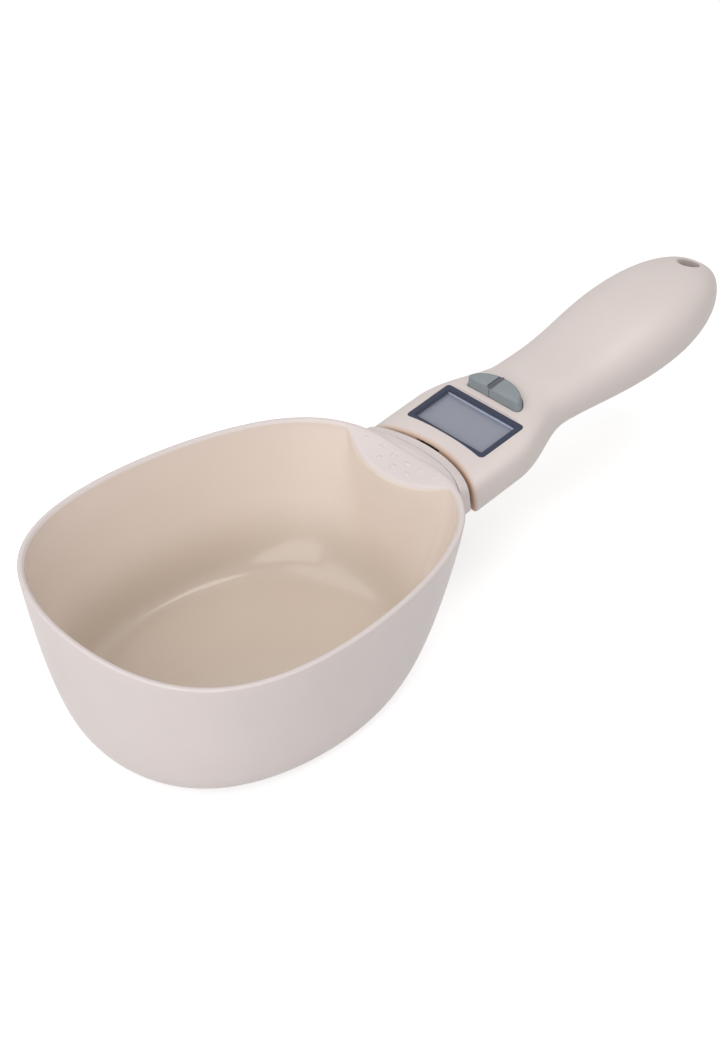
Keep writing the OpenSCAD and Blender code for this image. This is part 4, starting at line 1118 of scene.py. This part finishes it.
@dataclass
class KeyPad:
    """The two keys that together make the D-shaped pad behind the display. Sizes in millimetres."""

    handle: Handle
    front: float = 11.4
    depth: float = 6.8
    half: float = 10.2
    centre: float = 0.45
    split: float = 1.5
    gap: float = 0.2
    corner: float = 1.3
    foot: float = -1.9
    straight: float = 0.3
    top: float = 3.6
    round_r: float = 0.85
    draft: float = 0.35
    crown: float = 0.1
    groove: float = 2.1
    groove_t: float = 0.3

    def back(self, f: Array) -> Array:
        """The half ellipse of the pad's back, at the angles f."""
        return np.stack([self.front + self.depth * np.cos(f), self.half * np.sin(f)], -1)

    def half_curve(self, inner: float) -> Array:
        """Half the pad's outline, from its back at the side inner round to its front there.

        A half ellipse, then a round corner, then the straight front. The corner's circle touches both:
        its centre is the point of the ellipse moved inwards by the corner's radius that lies one
        radius behind the front.
        """
        f = np.radians(np.linspace(-89.9, 89.9, 1200))
        n = np.stack([np.cos(f) / self.depth, np.sin(f) / self.half], -1)
        n /= np.linalg.norm(n, axis=-1, keepdims=True)
        moved = self.back(f) - n * self.corner
        past = f > 0.6
        high = float(np.interp(-(self.front + self.corner), -moved[past, 0], f[past]))
        centre = np.array([self.front + self.corner, np.interp(high, f, moved[:, 1])])
        back = self.back(np.linspace(math.asin(inner / self.half), high, 60))
        start = math.atan2(math.sin(high) / self.half, math.cos(high) / self.depth)
        t = np.linspace(start, math.pi, 10)[1:]
        bend = centre + self.corner * np.stack([np.cos(t), np.sin(t)], -1)
        return np.concatenate([back, bend, np.linspace(bend[-1], [self.front, inner], 24)[1:]])

    def outline(self, side: Side) -> Array:
        """One key's outline: its part of the pad's outline, closed along the split."""
        curve = self.half_curve((self.split - self.centre) * side.value + self.gap / 2)
        shape = np.concatenate([curve, np.linspace(curve[-1], curve[0], 12)[1:-1]])
        shape = shape * [1, side.value] + [0, self.centre]
        return shape if side is Side.FAR else shape[::-1]

    def whole(self) -> Array:
        """The whole pad's outline, moved outwards by the gap round it."""
        curve = self.half_curve(0.0)
        shape = np.concatenate([curve, curve[-2:0:-1] * [1, -1]]) + [0, self.centre]
        return shape + outward(shape) * self.gap

    def key(self, side: Side, name: str, cad: str) -> Piece:
        """A key with drafted sides, a rounded upper edge and a slightly crowned top.

        Args:
            side: Which of the two keys it is.
            name: The piece's name.
            cad: The CAD node that it stands for, also the body that it rides on.

        Returns:
            The key, with the groove's half cut into its top beside the split.
        """
        shape = self.outline(side)
        n = outward(shape)
        n[:, 1] = np.where(np.abs(shape[:, 1] - self.split) < self.gap, 0.0, n[:, 1])
        r, base = self.round_r, self.top - self.round_r
        steps = [(0.0, self.foot), (0.0, self.straight)]
        steps += [(self.draft + r * (1 - math.cos(t)), base + r * math.sin(t)) for t in quarter(9)]
        rings = [lift(shape - n * d, w) for d, w in steps]
        edge, mid = rings[-1], rings[-1].mean(0)
        for t in (0.15, 0.35, 0.6):
            inner = mix(edge, mid, t)[:, :2]
            rings.append(lift(inner, self.top + self.crown * (1 - (1 - t) ** 2)))
        stack = np.stack(rings)
        rows, cols = stack.shape[:2]
        points = np.concatenate([stack.reshape(-1, 3), [[mid[0], mid[1], self.top + self.crown]]])
        faces = loft(stack, last=False) + [fan(np.arange(cols) + (rows - 1) * cols, rows * cols)]
        piece = build(name, self.handle.world(points), faces, cad, 50)
        cut = np.array([[-1, -1], [1, -1], [1, 1], [-1, 1]]) * [self.depth, self.groove / 2]
        cut = cut + [self.front + 0.5 * self.depth, self.split]
        carve(piece, [self.handle.prism(cut, self.top - self.groove_t, self.top + 2.0)], 50)
        dress(piece, "key_grey", KEY, KEY_GROOVE_SHADE)
        # The groove's faces take the painted shade.
        self.paint_groove_shade(piece)
        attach(piece, cad)
        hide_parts(cad)
        return piece

    def paint_groove_shade(self, piece: Piece) -> None:
        """Paints shade in the groove: gives the faces of its floor and side the darker finish."""
        centre = np.empty(len(piece.data.polygons) * 3)
        piece.data.polygons.foreach_get("center", centre)
        p = self.handle.local(centre.reshape(-1, 3) / MM)
        within = np.abs(p[:, 1] - self.split) < self.groove / 2 + 0.01
        inside = within & (p[:, 2] > self.top - self.groove_t - 0.05)
        piece.data.polygons.foreach_set("material_index", inside.astype(np.int32))

    def make(self) -> list[Piece]:
        """Both keys."""
        return [self.key(Side.FAR, "far_key", "unit_key"), self.key(Side.NEAR, "near_key", "power_key")]


@dataclass
class Display:
    """The display's window with its dark border, and the lip of the frame below it, pale as a painted
    highlight. In millimetres.
    """

    handle: Handle
    outer: Pair = (17.36, 29.56)
    opening: Pair = (14.0, 26.2)
    thick: float = 0.8
    below: float = 0.15
    lip_u: Pair = (6.5, 7.0)
    lip_w: Pair = (-1.32, -0.98)
    bevel: float = 0.12

    def ring(self, size: Pair, less: float, r: float, w: float) -> Array:
        """A round-cornered outline at the height w, of a size less a little."""
        return lift(round_box(size[0] - less, size[1] - less, r, steps=6), w)

    def border(self) -> Piece:
        """The dark border: a flat ring with a soft outer edge, whose inner wall reaches past the window."""
        deep = -self.below - self.thick
        outer = [(0.0, 1.1, deep), (0.0, 1.1, -0.06), (0.12, 1.04, 0.0)]
        inner = [(0.0, 0.35, 0.0), (0.04, 0.33, -0.04), (0.04, 0.33, deep - 0.4)]
        rings = [self.ring(self.outer, *step) for step in outer]
        stack = np.stack(rings + [self.ring(self.opening, *step) for step in inner])
        piece = build("display_border", self.handle.world(stack), hoop(stack), "scale_body", 40)
        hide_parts("display_mask")
        return dress(piece, "border_dark", BORDER)

    def sheet(self) -> Piece:
        """The clear window inside the border."""
        rings = [self.ring(self.opening, 0.1, 0.3, w) for w in (-self.below - self.thick, -self.below)]
        piece = self.handle.solid("display_sheet", rings, "scale_body", 40)
        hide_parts("display_window")
        return dress(piece, "window_clear", WINDOW)

    def lip(self) -> Piece:
        """The frame's own lip along the display's far edge: a long bar with bevelled ends, in a pale blue
        that paints the highlight of the lit far wall.
        """
        (near, far), (low, high) = self.lip_u, self.lip_w
        half, b = self.opening[1] / 2, self.bevel
        side = np.array([[far, low], [near, low], [near, high - b], [near + b, high], [far, high]])
        rings = []
        for v, k in ((0.2 - half, 0.4), (0.5 - half, 1.0), (half - 0.5, 1.0), (half - 0.2, 0.4)):
            rings.append(np.stack([far + (side[:, 0] - far) * k, np.full(len(side), v), side[:, 1]], -1))
        piece = self.handle.solid("display_lip", rings, "scale_body", 40)
        return dress(piece, "white_plastic", LIP_HIGHLIGHT)

    def make(self) -> list[Piece]:
        """All pieces of the display that show."""
        return [self.border(), self.sheet(), self.lip()]


# Floor, lights and camera


@dataclass
class Studio:
    """The camera at the photograph's angle, the pale floor, and soft lights.

    Sizes in metres, but those of the floor in millimetres.
    """

    eye: Triple = (-0.26836, -0.33147, 0.37989)
    aim: Triple = (0.03273, -0.01573, 0.045)
    lens: float = 48.014
    lit: Triple = (0.06, 0.0, 0.03)
    sky: float = 0.38
    floor_shade: float = 0.65
    floor_lift: float = 0.6
    floor_at: Triple = (60.0, 0.0, -0.05)
    lamps: tuple[tuple[str, Triple, float, float], ...] = (
        ("key_lamp", (-0.5, 0.35, 0.95), 0.9, 3.7),
        ("fill_lamp", (-0.8, -0.58, 0.5), 1.0, 6.2),
        ("bowl_lamp", (0.3, -0.3, 1.05), 0.5, 2.6),
    )

    @staticmethod
    def hang(name: str, data: bpy.types.ID, at: Triple, towards: Triple) -> Piece:
        """Puts a camera or a lamp at a place, turned to another one without roll."""
        made = bpy.data.objects.new(name, data)
        made.location = at
        made.rotation_euler = (Vector(towards) - Vector(at)).to_track_quat("-Z", "Y").to_euler()
        bpy.context.scene.collection.objects.link(made)
        return made

    def camera(self) -> None:
        """A camera with a vertical field of 28.06 degrees."""
        lens = bpy.data.cameras.new("photo_camera")
        lens.sensor_fit = "VERTICAL"
        lens.sensor_height = 24.0
        lens.lens = self.lens
        lens.clip_start = 0.01
        bpy.context.scene.camera = self.hang("photo_camera", lens, self.eye, self.aim)

    def lights(self) -> None:
        """Three large square lamps that face the object."""
        for name, at, size, power in self.lamps:
            lamp = bpy.data.lights.new(name, "AREA")
            lamp.shape = "SQUARE"
            lamp.size = size
            lamp.energy = power
            self.hang(name, lamp, at, self.lit)

    @staticmethod
    def seen_white(tree: Tree) -> Socket:
        """1 on the camera's rays, also by way of a mirror or through a clear sheet, and 0 on others."""
        path = node(tree, "LightPath").outputs
        total = maths(tree, "MAXIMUM", path["Is Camera Ray"], path["Is Glossy Ray"])
        return maths(tree, "MAXIMUM", total, path["Is Transmission Ray"])

    def world(self) -> None:
        """An even soft sky, seen as plain white."""
        world = bpy.data.worlds.new("studio")
        bpy.context.scene.world = world
        world.use_nodes = True
        tree = world.node_tree
        tree.nodes.clear()
        soft = node(tree, "Background", Color=(1.0, 0.985, 0.97, 1.0), Strength=self.sky)
        seen = node(tree, "Background", Color=(1.0, 1.0, 1.0, 1.0), Strength=1.0)
        both = node(tree, "MixShader", self.seen_white(tree), soft.outputs[0], seen.outputs[0])
        node(tree, "OutputWorld", both.outputs[0])

    def floor(self) -> None:
        """A round pale floor under the base, with a glow that lifts it to white where the eye sees it."""
        t = turn(3.75)
        radii = (30.0, 200.0, 600.0, 2500.0)
        rings = [np.stack([r * np.cos(t), r * np.sin(t), 0 * t], -1) for r in radii]
        points = np.concatenate([*rings, [[0.0, 0.0, 0.0]]]) + self.floor_at
        n = len(t)
        piece = build("floor", points, [quads(len(radii), n)[:, ::-1], fan(np.arange(n), len(points) - 1)])
        plain = Finish("pale_floor", (self.floor_shade,) * 3, 0.9, mottle=0.004, grain=0.0, specular=0.1)
        tree = plain.material().node_tree
        gain = maths(tree, "MULTIPLY", self.seen_white(tree), self.floor_lift)
        glow = node(tree, "Emission", Color=(1.0, 1.0, 1.0, 1.0), Strength=gain)
        shader = tree.nodes["Principled BSDF"]
        both = node(tree, "AddShader", shader.outputs[0], glow.outputs[0])
        feed(tree, tree.nodes["Material Output"], Surface=both.outputs[0])
        piece.data.materials.append(plain.material())

    def make(self) -> None:
        """Everything round the object."""
        bpy.context.scene.view_settings.view_transform = "Standard"
        self.camera()
        self.lights()
        self.world()
        self.floor()


def dress_inside() -> list[str]:
    """Gives every CAD node that stays its procedural finish, and lists their names."""
    done = []
    for name, finish in NODE_FINISHES.items():
        piece = bpy.data.objects.get(name)
        if piece and piece.type == "MESH":
            piece.data.materials.clear()
            piece.data.materials.append(finish.material())
            done.append(name)
    return done


def main() -> None:
    """Builds the sub-assemblies in order, dresses them, and sets the studio round them."""
    logging.basicConfig(level=logging.INFO, format="%(name)s: %(message)s")
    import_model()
    Studio().make()
    bowl = Bowl()
    handle = Handle(bowl)
    for part in (bowl, Neck(handle), Housing(handle), KeyPad(handle), Display(handle)):
        for piece in part.make():
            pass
    LOG.info("dressed %s", ", ".join(dress_inside()))


if __name__ == "__main__":
    main()
